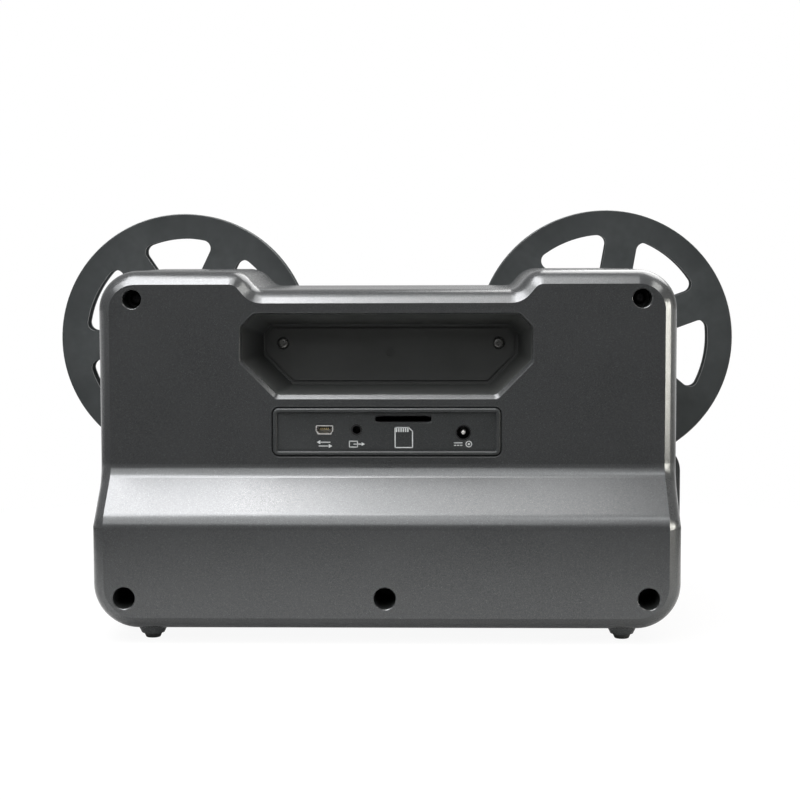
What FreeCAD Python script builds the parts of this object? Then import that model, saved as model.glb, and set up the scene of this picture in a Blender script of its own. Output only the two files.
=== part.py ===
"""Desktop scanner for 8 mm film on reels, in millimetres.

+Z is up, the front with the reels and the film track faces -Y, and the rear with the
carrying recess and the sockets faces +Y. The origin is on the surface that the scanner
stands on, under the middle of its width and of its overall depth. Heights are drawn from a
plane FOOT_SOLE under that surface, and every piece is set down by as much when it is written.
"""
import FreeCAD, Part
import math
import os

Vec = FreeCAD.Vector

# Casing
CASE_HALF_WIDTH = 128.5
CASE_BOTTOM = 6.5
SHOULDER_TOP = 162.7
NOTCH_FLOOR = 154.4
NOTCH_OUTER_X = 64.2
NOTCH_INNER_X = 57.2
NOTCH_RADII = (11.0, 5.0)
TOP_CORNER_RADIUS = 17.5
BOTTOM_CORNER_RADIUS = 20.0
WALL = 2.5
PARTING_Y = 45.0
UPPER_REAR_Y = 65.0
LOWER_REAR_Y = 87.0
SLOPE_TOP_Z = 73.8
SLOPE_BOTTOM_Z = 55.2
SLOPE_TOP_RADIUS = 7.7
SLOPE_BOTTOM_RADIUS = 9.0
RIM_BEVEL = 6.0
RIM_ROUND = 12.0
SEAM_BEVEL = 0.35

# Front of the casing
DECK_Y = -45.0
FRONT_BEVEL_Y = -26.0
FRONT_BEVEL_Z = 146.0
BASE_HALF_WIDTH = 141.0
BASE_TOP = 77.0
BASE_REAR_Y = -32.0
TRAY_FRONT_Y = -87.0
TRAY_TOP = 38.0
TRAY_CORNER_RADIUS = 18.0
WING_INNER_X = 122.0
BASE_CORNER_RADIUS = 12.0
BASE_SHOULDER_RADIUS = 14.0
TRAY_LIP_RADIUS = 3.0
WING_LIP_RADIUS = 2.5
HOOK_XS = (-95.0, -66.0, 66.0, 95.0)
HOOK_HALF_WIDTH = 5.0

# Carrying recess and socket panel in the rear
RECESS_FLOOR_Y = 36.0
RECESS_MOUTH = (64.8, 106.1, 144.2)
RECESS_MOUTH_CUTS = (49.2, 122.3, 58.7, 138.2)
RECESS_RIM = (64.0, 107.9, 143.5)
RECESS_RIM_CUTS = (48.5, 123.2, 58.3, 137.8)
RECESS_FLOOR = (57.9, 110.7, 137.9)
RECESS_FLOOR_CUTS = (44.8, 124.0, 54.6, 133.6)
RECESS_CORNER = 3.0
RECESS_FLOOR_X = -1.0
FLARE_DEPTH = 1.9
MOUTH_ROUND = 0.5
RECESS_SCREW_XS = (-50.1, 48.1)
RECESS_SCREW_Z = 129.4
PANEL_HALF_WIDTH = 50.7
PANEL_BOTTOM = 80.7
PANEL_TOP = 102.6
PANEL_SINK = 0.8
PANEL_THICK = 1.0
PANEL_CORNER = 3.0
PANEL_GAP = 0.5
BEAD_WIDTH = 1.9
BEAD_RISE = 1.6
BEAD_ROUND = 0.85
POCKET_ROUND = 0.5
FLOOR_GROOVE = 0.9
DIMPLE_Z = 125.0
DIMPLE_RADIUS = 2.0
DIMPLE_DEPTH = 1.0

# Sockets, by their middles seen in the panel
PORT_X, PORT_Z = 27.5, 92.4
AV_X, AV_Z = 13.3, 92.4
AV_BORE = 1.78
CARD_X, CARD_Z = -7.4, 97.1
CARD_HALF_WIDTH = 12.35
CARD_HALF_HEIGHT = 1.4
CARD_RAIL = 2.0
CARD_RAIL_HEIGHT = 0.9
CARD_FLARE = 0.35
DC_X, DC_Z = -33.9, 91.2
DC_BORE = 2.9
DC_PIN = 1.0
BOARD_TOP = 86.0
BOARD_THICK = 1.6

# Case screws: places of the five deep holes
UPPER_HOLE_RADIUS = 4.2
LOWER_HOLE_RADIUS = 4.75
SCREW_HOLES = (
    (112.3, 150.3, UPPER_HOLE_RADIUS), (-112.3, 150.3, UPPER_HOLE_RADIUS), (113.8, 21.1, LOWER_HOLE_RADIUS),
    (-113.8, 21.1, LOWER_HOLE_RADIUS), (0.3, 21.1, LOWER_HOLE_RADIUS),
)
SCREW_WELL_WALL = 2.2
SCREW_HOLE_BEVEL = 0.35
SCREW_SEAT_Y = 50.0
SCREW_BOSS_Y = 47.0

# Feet
FOOT_X = 103.4
FOOT_Y = 72.0
FOOT_SOLE = 1.3
BOSS_TIP = 3.5
BOSS_HEIGHT = 4.0
BOSS_RADII = (5.0, 7.0)
PAD_RADII = (3.1, 4.1)
PAD_SEAT = 5.4
BOSS_ROUND = 1.5

# Reels and their drives
REEL_RADII = {1: 62.4, -1: 63.5}
REEL_X = 105.1
REEL_Z = 127.6
REEL_REAR_Y = -51.0
REEL_FRONT_Y = -62.5
FLANGE_THICK = 1.5
HUB_RADIUS = 16.0
REEL_BORE = 6.35
WINDOW_OUTER_RADII = {1: 50.1, -1: 51.4}
WINDOW_INNER = 24.0
SPOKE_WIDTHS = {1: 14.8, -1: 15.4}
WINDOW_CORNER = 4.0
WINDOW_ANGLES = {1: 85.7, -1: 130.0}
SPINDLE_RADIUS = 3.0
SPINDLE_CORE = 6.2
RUNNING_GAP = 0.05
REEL_GEAR_TEETH = 40
PINION_TEETH = 12
REEL_MODULE = 0.8
MOTOR_RADIUS = 10.0

# Film gate and transport
FILM_Y = -56.75
GATE_HALF_WIDTH = 34.0
GATE_TOP = 45.5
TRACK_FLOOR = 44.5
DOOR_HALF_WIDTH = 22.0
HINGE_Y, HINGE_Z = -49.0, 60.0
ROLLER_X = (121.0, 54.0)
ROLLER_Z = 51.0
ROLLER_RADIUS = 7.0
POST_RADIUS = 2.5
CAM_X, CAM_Z = 26.0, 23.0
CAM_MODULE = 0.5
CAM_TEETH = 44
CAM_RADIUS = 2.8
CAM_THROW = 2.1
FRAME_PITCH = 4.2
OPTIC_Z = 26.0

# Controls
SCREEN_HALF_WIDTH = 29.5
SCREEN_BOTTOM, SCREEN_TOP = 101.0, 141.0
BUTTON_XS = (-28.0, -14.0, 0.0, 14.0, 28.0)
BUTTON_Z = 91.0
BUTTON_RADIUS = 4.2
SLIDER_X, SLIDER_Z = -48.0, 66.0
SLIDER_TRAVEL = 7.0

# Depths and small sizes inside
SOCKET_FRONT_Y = 62.4
AV_NOZZLE = 2.6
AV_BOTTOM_Y = 49.8
DC_NOZZLE = 3.4
DC_BOTTOM_Y = 52.0
BOARD_HALF_WIDTH = 62.0
BOARD_POSTS = ((-56.0, 4.0), (56.0, 4.0), (-56.0, 38.0), (56.0, 38.0))
PANEL_FRONT_HALF = 40.0
PANEL_FRONT_LOW, PANEL_FRONT_HIGH = 82.5, 144.5
KEYPAD_Y = -36.4
KEYPAD_POST_X = 21.0
PLATFORM_REAR_Y = -46.2
KEY_ANGLES = (0.0, 120.0, 240.0)
BRACKET_FRONT_Y, BRACKET_REAR_Y = -28.0, -26.4
MOTOR_POST_RISE = 15.0
HINGE_PIN = 1.25
ROLLER_BORE = POST_RADIUS + RUNNING_GAP
CAM_SHAFT = 1.5
PLATE_FRONT_Y, PLATE_REAR_Y = -66.0, -64.0
CLAW_X, CLAW_Y = 10.4, -59.6
LENS_RADIUS = 8.0
MIRROR_THICK = 1.5

# Gear teeth
PRESSURE_ANGLE = math.radians(20.0)
TOOTH_ADDENDUM = 0.75
TOOTH_DEDENDUM = 1.1
TOOTH_FILL = 0.9


def on_xz(y):
    """Place a drawn point (u, v) at x=u, z=v on the plane at depth y."""
    return lambda u, v: Vec(u, y, v)


def on_yz(x):
    """Place a drawn point (u, v) at y=u, z=v on the plane at width x."""
    return lambda u, v: Vec(x, u, v)


def on_xy(z):
    """Place a drawn point (u, v) at x=u, y=v on the plane at height z."""
    return lambda u, v: Vec(u, v, z)


def rounded_wire(corners, place):
    """Closed wire through corners (u, v, radius), each corner rounded by its radius."""
    ends = []
    count = len(corners)
    for i, (u, v, radius) in enumerate(corners):
        here = Vec(u, v, 0)
        back = Vec(*corners[i - 1][:2], 0) - here
        ahead = Vec(*corners[(i + 1) % count][:2], 0) - here
        if radius <= 0:
            ends.append((here, None, here))
            continue
        back.normalize()
        ahead.normalize()
        half = back.getAngle(ahead) / 2
        reach = radius / math.tan(half)
        middle = back + ahead
        middle.normalize()
        apex = here + middle * (radius / math.sin(half) - radius)
        ends.append((here + back * reach, apex, here + ahead * reach))
    edges = []
    for i, (start, apex, end) in enumerate(ends):
        if apex is not None:
            arc = Part.Arc(place(start.x, start.y), place(apex.x, apex.y), place(end.x, end.y))
            edges.append(arc.toShape())
        follow = ends[(i + 1) % count][0]
        if end.distanceToPoint(follow) > 1e-6:
            edges.append(Part.makeLine(place(end.x, end.y), place(follow.x, follow.y)))
    return Part.Wire(edges)


def sharp(points):
    """Corners without rounding."""
    return [(u, v, 0) for u, v in points]


def prism_y(corners, y0, y1):
    """Solid between depths y0 and y1 whose section in x, z is the rounded outline."""
    return Part.Face(rounded_wire(corners, on_xz(y0))).extrude(Vec(0, y1 - y0, 0))


def prism_x(corners, x0, x1):
    """Solid between widths x0 and x1 whose section in y, z is the rounded outline."""
    return Part.Face(rounded_wire(corners, on_yz(x0))).extrude(Vec(x1 - x0, 0, 0))


def prism_z(corners, z0, z1):
    """Solid between heights z0 and z1 whose section in x, y is the rounded outline."""
    return Part.Face(rounded_wire(corners, on_xy(z0))).extrude(Vec(0, 0, z1 - z0))


def box(x0, x1, y0, y1, z0, z1):
    """Rectangular block between two corners."""
    return Part.makeBox(x1 - x0, y1 - y0, z1 - z0, Vec(x0, y0, z0))


def rectangle(u0, u1, v0, v1, radius=0.0):
    """Corners of a rectangle, all rounded alike."""
    return [(u0, v0, radius), (u1, v0, radius), (u1, v1, radius), (u0, v1, radius)]


def rod_y(x, z, radius, y0, y1):
    """Round bar along Y."""
    return Part.makeCylinder(radius, y1 - y0, Vec(x, y0, z), Vec(0, 1, 0))


def rod_z(x, y, radius, z0, z1):
    """Round bar along Z."""
    return Part.makeCylinder(radius, z1 - z0, Vec(x, y, z0), Vec(0, 0, 1))


def rod_x(y, z, radius, x0, x1):
    """Round bar along X."""
    return Part.makeCylinder(radius, x1 - x0, Vec(x0, y, z), Vec(1, 0, 0))


def tube_y(x, z, outer, inner, y0, y1):
    """Round tube along Y."""
    return rod_y(x, z, outer, y0, y1).cut(rod_y(x, z, inner, y0 - 1, y1 + 1))


def cone_y(x, z, r0, r1, y0, y1):
    """Cone along Y with radius r0 at y0 and r1 at y1."""
    return Part.makeCone(r0, r1, y1 - y0, Vec(x, y0, z), Vec(0, 1, 0))


def join(*shapes):
    """One solid made of touching shapes, without the seams between them."""
    return shapes[0].fuse(list(shapes[1:])).removeSplitter()


def group(shapes):
    """Separate solids that share one node."""
    return Part.makeCompound(list(shapes))


def round_edges(shape, radius, wanted):
    """Fillet the edges for whose middle point wanted(point, edge) holds."""
    edges = [e for e in shape.Edges if wanted(edge_middle(e), e)]
    return shape.makeFillet(radius, edges)


def bevel_edges(shape, size, wanted):
    """Chamfer the edges for whose middle point wanted(point, edge) holds."""
    edges = [e for e in shape.Edges if wanted(edge_middle(e), e)]
    return shape.makeChamfer(size, edges)


def edge_middle(edge):
    """Point half-way along an edge."""
    return edge.valueAt((edge.FirstParameter + edge.LastParameter) / 2)


# Casing

def case_outline(inset=0.0):
    """Outline of the casing seen from behind, moved inwards by inset."""
    slope = math.atan2(SHOULDER_TOP - NOTCH_FLOOR, NOTCH_OUTER_X - NOTCH_INNER_X)
    shift = inset * math.tan(slope / 2)
    half = CASE_HALF_WIDTH - inset
    low = CASE_BOTTOM + inset
    high = SHOULDER_TOP - inset
    floor = NOTCH_FLOOR - inset
    right = [
        (half, low, BOTTOM_CORNER_RADIUS - inset),
        (half, high, TOP_CORNER_RADIUS - inset),
        (NOTCH_OUTER_X + shift, high, NOTCH_RADII[0] - inset / 2),
        (NOTCH_INNER_X + shift, floor, NOTCH_RADII[1]),
    ]
    left = [(-x, z, r) for x, z, r in reversed(right)]
    return right + left


def rear_profile(inset=0.0):
    """Side view of the rear: upper face, sloping band and lower hump, moved inwards."""
    turn = math.atan2(LOWER_REAR_Y - UPPER_REAR_Y, SLOPE_TOP_Z - SLOPE_BOTTOM_Z)
    shift = inset * math.tan(turn / 2)
    start = PARTING_Y - 1 if inset else PARTING_Y
    return [
        (start, -20.0, 0),
        (LOWER_REAR_Y - inset, -20.0, 0),
        (LOWER_REAR_Y - inset, SLOPE_BOTTOM_Z - shift, SLOPE_BOTTOM_RADIUS - inset / 2),
        (UPPER_REAR_Y - inset, SLOPE_TOP_Z - shift, SLOPE_TOP_RADIUS),
        (UPPER_REAR_Y - inset, 200.0, 0),
        (start, 200.0, 0),
    ]


def rear_block(outline_inset, profile_inset):
    """Solid bounded by the casing outline and by the rear's side view."""
    start = PARTING_Y - 1 if outline_inset else PARTING_Y
    body = prism_y(case_outline(outline_inset), start, LOWER_REAR_Y + 1)
    return body.common(prism_x(rear_profile(profile_inset), -200.0, 200.0)).removeSplitter()


def on_rear_rim(point, edge):
    """Whether an edge runs round the rear where its faces meet the sides."""
    if point.y < PARTING_Y + 2:
        return False
    along_depth = abs(edge.tangentAt(edge.FirstParameter).y) > 0.999
    crosses = abs(point.x) < 1.0 and edge.Length > 2 * CASE_HALF_WIDTH - 2
    flat_top_or_floor = abs(point.z - CASE_BOTTOM) < 0.1 or abs(point.z - NOTCH_FLOOR) < 0.1
    return not along_depth and (not crosses or flat_top_or_floor)


def on_seam(point, edge):
    """Whether an edge runs round the casing where its two halves meet."""
    return abs(point.y - PARTING_Y) < 0.01 and edge.Length > SEAM_BEVEL


def on_bevel_side(point, edge, outline):
    """Whether an edge is where the rim's bevel meets the casing's sides."""
    along_depth = abs(edge.tangentAt(edge.FirstParameter).y) > 0.999
    if point.y < PARTING_Y + 2 or along_depth:
        return False
    return Part.Vertex(Vec(point.x, 0, point.z)).distToShape(outline)[0] < 0.02


def rear_form():
    """Outer form of the rear shell: its rim is bevelled and rounded into the sides."""
    form = bevel_edges(rear_block(0.0, 0.0), RIM_BEVEL, on_rear_rim)
    outline = rounded_wire(case_outline(), on_xz(0.0))
    form = round_edges(form, RIM_ROUND, lambda p, e: on_bevel_side(p, e, outline))
    return bevel_edges(form, SEAM_BEVEL, on_seam)


def recess_outline(sizes, cuts, grow=0.0, radius=0.0):
    """Eight-sided outline of the carrying recess: the two lower corners are cut deeper."""
    half, low, high = sizes
    low_x, low_z, high_x, high_z = cuts
    slant = grow * math.tan(math.radians(22.5))
    right = [
        (low_x + slant, low - grow, radius),
        (half + grow, low_z - slant, radius),
        (half + grow, high_z + slant, radius),
        (high_x + slant, high + grow, radius),
    ]
    return right + [(-x, z, r) for x, z, r in reversed(right)]


def screw_well(x, z, radius):
    """Tube inside the rear shell that carries one case screw."""
    return rod_y(x, z, radius + SCREW_WELL_WALL, SCREW_BOSS_Y, face_y_at(z) - 1)


def face_y_at(z):
    """Depth of the rear face at a screw hole."""
    return UPPER_REAR_Y if z > SLOPE_TOP_Z else LOWER_REAR_Y


def foot_boss(y):
    """Short tapered bosses under the casing at depth y, hollow for the pads."""
    bosses = []
    for x in (-FOOT_X, FOOT_X):
        cone = Part.makeCone(*BOSS_RADII, BOSS_HEIGHT, Vec(x, y, BOSS_TIP), Vec(0, 0, 1))
        bosses.append(cone.cut(rod_z(x, y, PAD_RADII[1], BOSS_TIP - 1, PAD_SEAT)))
    return bosses


def on_boss_root(point, y):
    """Whether a point lies where a foot boss at depth y meets the underside."""
    share = (CASE_BOTTOM - BOSS_TIP) / BOSS_HEIGHT
    root = BOSS_RADII[0] + share * (BOSS_RADII[1] - BOSS_RADII[0])
    away = min(math.hypot(point.x - x, point.y - y) for x in (-FOOT_X, FOOT_X))
    return abs(away - root) < 0.7 and CASE_BOTTOM - 0.1 < point.z < CASE_BOTTOM + 1.5


def rear_shell():
    """Rear half of the casing, a moulded shell open to the front."""
    shell = rear_form()
    shell = shell.cut(rear_block(WALL, WALL + 5.0)).cut(rear_block(7.0, WALL))
    shell = shell.fuse([screw_well(*hole) for hole in SCREW_HOLES] + foot_boss(FOOT_Y))
    for x, z, radius in SCREW_HOLES:
        face = face_y_at(z)
        shell = shell.cut(rod_y(x, z, radius, SCREW_SEAT_Y, face + 1))
        shell = shell.cut(rod_y(x, z, 1.8, SCREW_BOSS_Y - 1, face))
        shell = shell.cut(cone_y(x, z, radius, radius + SCREW_HOLE_BEVEL, face - SCREW_HOLE_BEVEL, face))
    shell = shell.cut(recess_mouth())
    pocket = rectangle(-PANEL_HALF_WIDTH, PANEL_HALF_WIDTH, PANEL_BOTTOM, PANEL_TOP, PANEL_CORNER)
    opening = rectangle(3 - PANEL_HALF_WIDTH, PANEL_HALF_WIDTH - 3, PANEL_BOTTOM + 2, PANEL_TOP - 2, 1.0)
    sunk = UPPER_REAR_Y - PANEL_SINK - PANEL_THICK
    shell = shell.cut(prism_y(pocket, sunk, UPPER_REAR_Y + 1))
    shell = shell.cut(prism_y(opening, sunk - WALL, UPPER_REAR_Y)).removeSplitter()
    shell = round_edges(shell, BOSS_ROUND, lambda p, e: on_boss_root(p, FOOT_Y))
    shell = round_edges(shell, MOUTH_ROUND, on_mouth_edge)
    return round_edges(shell, POCKET_ROUND, on_pocket_edge)


def recess_mouth():
    """Cutter for the recess's mouth, which flares towards the rear face, most of all below."""
    inner = recess_outline(RECESS_RIM, RECESS_RIM_CUTS, 0.0, RECESS_CORNER)
    outer = recess_outline(RECESS_MOUTH, RECESS_MOUTH_CUTS, 0.0, RECESS_CORNER)
    start = UPPER_REAR_Y - FLARE_DEPTH
    flare = Part.makeLoft([rounded_wire(inner, on_xz(start)), rounded_wire(outer, on_xz(UPPER_REAR_Y))], True)
    throat = prism_y(inner, UPPER_REAR_Y - 10.0, start)
    return flare.fuse([throat, prism_y(outer, UPPER_REAR_Y, UPPER_REAR_Y + 1)])


def on_mouth_edge(point, edge):
    """Whether an edge is where the rear face turns into the recess's mouth."""
    half, low, high = RECESS_MOUTH
    inside = abs(point.x) < half + 0.5 and low - 0.5 < point.z < high + 0.5
    return inside and abs(point.y - UPPER_REAR_Y) < 0.01 and abs(edge.tangentAt(0.0).y) < 0.5


def on_pocket_edge(point, edge):
    """Whether an edge is where the rear face turns into the socket panel's pocket."""
    inside = abs(point.x) < PANEL_HALF_WIDTH + 0.5 and PANEL_BOTTOM - 0.5 < point.z < PANEL_TOP + 0.5
    return inside and abs(point.y - UPPER_REAR_Y) < 0.01 and abs(edge.tangentAt(0.0).y) < 0.5


def recess_cup():
    """Tapered cup behind the mouth of the carrying recess, with a rim that backs the wall."""
    skin = 2.0
    back = UPPER_REAR_Y - WALL
    rim = rounded_wire(recess_outline(RECESS_RIM, RECESS_RIM_CUTS, 0.0, RECESS_CORNER), on_xz(back))
    floor = rounded_wire(floor_outline(0.0, 2.0), on_xz(RECESS_FLOOR_Y))
    hollow = Part.makeLoft([rim, floor], True)
    rim_out = rounded_wire(recess_outline(RECESS_RIM, RECESS_RIM_CUTS, skin, RECESS_CORNER), on_xz(back))
    floor_out = rounded_wire(floor_outline(skin, 2.0), on_xz(RECESS_FLOOR_Y - skin))
    cup = Part.makeLoft([rim_out, floor_out], True)
    lip = prism_y(recess_outline(RECESS_RIM, RECESS_RIM_CUTS, 3.2, 3.0), back - 1.6, back)
    cup = cup.fuse(lip).cut(hollow)
    for x in RECESS_SCREW_XS:
        cup = cup.cut(rod_y(x, RECESS_SCREW_Z, 1.6, RECESS_FLOOR_Y - 5, RECESS_FLOOR_Y + 1))
        cup = cup.cut(rod_y(x, RECESS_SCREW_Z, 2.9, RECESS_FLOOR_Y - 0.6, RECESS_FLOOR_Y + 1))
    dimple = rod_y(RECESS_FLOOR_X, DIMPLE_Z, DIMPLE_RADIUS, RECESS_FLOOR_Y - DIMPLE_DEPTH, RECESS_FLOOR_Y + 1)
    return cup.cut(dimple).cut(floor_groove()).removeSplitter()


def floor_outline(grow, radius):
    """Outline of the recess's floor, which lies a little beside the middle of its mouth."""
    corners = recess_outline(RECESS_FLOOR, RECESS_FLOOR_CUTS, grow, radius)
    return [(x + RECESS_FLOOR_X, z, r) for x, z, r in corners]


def floor_groove():
    """Shallow groove that runs round the recess's floor just inside its walls."""
    depths = RECESS_FLOOR_Y - FLOOR_GROOVE, RECESS_FLOOR_Y + 1
    outer = prism_y(floor_outline(-FLOOR_GROOVE, 1.5), *depths)
    return outer.cut(prism_y(floor_outline(-2 * FLOOR_GROOVE, 1.0), *depths))


def front_mass(inset):
    """Solid of the front half's upper part, with its sloping top front edge."""
    body = prism_y(case_outline(inset), DECK_Y + inset, PARTING_Y + (1 if inset else 0))
    drop = inset * math.tan(math.radians(20.0))
    slant = [
        (DECK_Y + inset - 0.001, FRONT_BEVEL_Z - drop),
        (FRONT_BEVEL_Y + drop, SHOULDER_TOP - inset),
        (FRONT_BEVEL_Y + drop, 200.0),
        (DECK_Y - 10.0, 200.0),
        (DECK_Y - 10.0, FRONT_BEVEL_Z - drop),
    ]
    return body.cut(prism_x(sharp(slant), -200.0, 200.0))


def base_section(half, low, high, inset):
    """Corners of the base seen from the front, with its rounded lower and upper corners."""
    foot = BASE_CORNER_RADIUS - inset
    shoulder = BASE_SHOULDER_RADIUS - inset
    return [(-half, low, foot), (half, low, foot), (half, high, shoulder), (-half, high, shoulder)]


def base_mass(inset):
    """Solid of the wide base: its upright part and the tray that carries the film track."""
    half = BASE_HALF_WIDTH - inset
    low = CASE_BOTTOM + inset
    rear = BASE_REAR_Y - inset
    upright = prism_y(base_section(half, low, BASE_TOP - inset, inset), DECK_Y + inset, rear)
    plan = [
        (-half, TRAY_FRONT_Y + inset, TRAY_CORNER_RADIUS - inset),
        (half, TRAY_FRONT_Y + inset, TRAY_CORNER_RADIUS - inset),
        (half, rear, 0.0),
        (-half, rear, 0.0),
    ]
    tray = prism_z(plan, low, TRAY_TOP - inset)
    side = prism_y(base_section(half, low, BASE_TOP, inset), TRAY_FRONT_Y - 1, rear)
    return upright.fuse(tray.common(side)).removeSplitter()


def front_shell():
    """Front half of the casing, a shell open to the rear, with the deck that carries the reels."""
    shell = bevel_edges(front_mass(0.0), SEAM_BEVEL, on_seam).cut(front_mass(WALL))
    shell = shell.fuse(front_bosses() + hinge_ears())
    for cut in front_cuts():
        shell = shell.cut(cut)
    return shell.removeSplitter()


def front_base():
    """Wide base clipped on the casing's front: a tray with a wing beside each side."""
    base = round_edges(base_mass(0.0), TRAY_LIP_RADIUS, is_tray_lip)
    base = round_edges(base, WING_LIP_RADIUS, is_wing_lip)
    base = base.cut(base_mass(WALL)).cut(front_mass(0.0))
    base = base.cut(box(-WING_INNER_X, WING_INNER_X, DECK_Y, BASE_REAR_Y + 1, 0.0, BASE_TOP + 1))
    base = base.fuse(foot_boss(-FOOT_Y) + base_hooks() + [claw_guide(), mirror_wedge()])
    base = base.cut(box(-20.0, 20.0, -64.0, -49.5, TRAY_TOP - 4, TRAY_TOP + 1)).removeSplitter()
    return round_edges(base, BOSS_ROUND, lambda p, e: on_boss_root(p, -FOOT_Y))


def base_hooks():
    """Snap hooks behind the tray's upper wall and on its floor, which hold it to the deck."""
    behind = DECK_Y + WALL + 0.1
    roof = TRAY_TOP - WALL
    floor = CASE_BOTTOM + WALL
    hooks = []
    for x in HOOK_XS:
        span = x - HOOK_HALF_WIDTH, x + HOOK_HALF_WIDTH
        hooks.append(box(*span, DECK_Y - 2, behind + 1.2, roof - 2.1, roof + 0.1))
        hooks.append(box(*span, behind, behind + 1.2, roof - 3.7, roof - 2.0))
        hooks.append(box(*span, DECK_Y - 5, behind + 1.2, floor + 0.2, floor + 2.1))
        hooks.append(box(*span, DECK_Y - 5, DECK_Y - 0.3, floor - 0.1, floor + 0.3))
        hooks.append(box(*span, behind, behind + 1.2, floor + 2.0, floor + 3.7))
    return hooks


def hook_slots():
    """Slots in the deck for the base's hooks."""
    slots = []
    for x in HOOK_XS:
        span = x - HOOK_HALF_WIDTH - 0.2, x + HOOK_HALF_WIDTH + 0.2, DECK_Y - 1, DECK_Y + WALL + 0.05
        slots.append(box(*span, TRAY_TOP - WALL - 2.3, TRAY_TOP - WALL + 0.1))
        slots.append(box(*span, CASE_BOTTOM + WALL, CASE_BOTTOM + WALL + 2.3))
    return slots


def is_tray_lip(point, edge):
    """Whether an edge runs round the tray's upper outer rim."""
    return abs(point.z - TRAY_TOP) < 0.01 and point.y < DECK_Y - 0.5


def is_wing_lip(point, edge):
    """Whether an edge is on the front outline of the base's upright part, over the tray."""
    return abs(point.y - DECK_Y) < 0.01 and point.z > TRAY_TOP + 4


def front_bosses():
    """Bosses and posts inside the front shell."""
    bosses = []
    for x, z, _ in SCREW_HOLES:
        bosses.append(rod_y(x, z, 5.0, 18.0, SCREW_BOSS_Y))
        wall_z = (CASE_BOTTOM + 1, z) if z < 80 else (z, SHOULDER_TOP - 1)
        bosses.append(box(x - 1.2, x + 1.2, 18.0, 43.0, *wall_z))
    for x in RECESS_SCREW_XS:
        bosses.append(rod_y(x, RECESS_SCREW_Z, 4.0, DECK_Y + 1, RECESS_FLOOR_Y - 2.0))
    for x in (-REEL_X, REEL_X):
        bosses.append(rod_y(x, REEL_Z, 8.0, DECK_Y + 1, -36.0))
        for px, pz in motor_posts(x):
            bosses.append(rod_y(px, pz, 3.0, DECK_Y + 1, -28.0))
    for x, y in BOARD_POSTS:
        bosses.append(rod_z(x, y, 3.6, CASE_BOTTOM + 1, BOARD_TOP - BOARD_THICK))
    for x in (-KEYPAD_POST_X, KEYPAD_POST_X):
        bosses.append(rod_y(x, BUTTON_Z - 4.8, 1.6, DECK_Y + 1, KEYPAD_Y))
    return bosses


def motor_x(reel_x):
    """Width position of a reel motor, inboard of its spindle."""
    distance = REEL_MODULE * (REEL_GEAR_TEETH + PINION_TEETH) / 2
    return math.copysign(abs(reel_x) - distance, reel_x)


def motor_posts(reel_x):
    """Places of the two posts that carry a reel motor's bracket."""
    x = motor_x(reel_x)
    return ((x, REEL_Z + MOTOR_POST_RISE), (x, REEL_Z - MOTOR_POST_RISE))


def front_cuts():
    """Everything that passes through the front shell's walls."""
    cuts = []
    for x, z, _ in SCREW_HOLES:
        cuts.append(rod_y(x, z, 1.5, 28.0, SCREW_BOSS_Y + 1))
    for x in RECESS_SCREW_XS:
        cuts.append(rod_y(x, RECESS_SCREW_Z, 1.2, RECESS_FLOOR_Y - 14, RECESS_FLOOR_Y))
    for x in (-REEL_X, REEL_X):
        cuts.append(rod_y(x, REEL_Z, 5.0, DECK_Y - 1, -35.0))
        for px, pz in motor_posts(x):
            cuts.append(rod_y(px, pz, 1.0, -36.0, -27.0))
    for x, y in BOARD_POSTS:
        cuts.append(rod_z(x, y, 1.1, BOARD_TOP - 12, BOARD_TOP))
    cuts.append(box(-SCREEN_HALF_WIDTH, SCREEN_HALF_WIDTH, DECK_Y - 1, DECK_Y + 4, SCREEN_BOTTOM, SCREEN_TOP))
    for x in BUTTON_XS:
        cuts.append(rod_y(x, BUTTON_Z, BUTTON_RADIUS + 0.4, DECK_Y - 1, DECK_Y + 4))
    cuts.append(box(*slider_slot(), DECK_Y - 1, DECK_Y + 4, SLIDER_Z - 2.0, SLIDER_Z + 2.0))
    cuts.append(box(-12.0, 12.0, DECK_Y - 1, DECK_Y + 4, OPTIC_Z - 12.0, OPTIC_Z + 12.0))
    for x in roller_xs():
        cuts.append(rod_y(x, ROLLER_Z, POST_RADIUS, DECK_Y - 1, DECK_Y + 4))
    return cuts + hook_slots()


def slider_slot():
    """Width span of the slot for the film size slider."""
    return SLIDER_X - 2.3, SLIDER_X + SLIDER_TRAVEL + 2.3


def hinge_ear_spans():
    """Width spans of the two ears that hold the gate's hinge pin."""
    inner = DOOR_HALF_WIDTH + 0.4
    return (-inner - 4.0, -inner), (inner, inner + 4.0)


def roller_xs():
    """Width positions of the four guide rollers, from left to right."""
    outer, inner = ROLLER_X
    return (-outer, -inner, inner, outer)


# Rear fittings

def panel_outline(inset):
    """Outline of the socket panel, moved inwards from its pocket's walls."""
    half = PANEL_HALF_WIDTH - inset
    return rectangle(-half, half, PANEL_BOTTOM + inset, PANEL_TOP - inset, PANEL_CORNER - inset)


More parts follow.
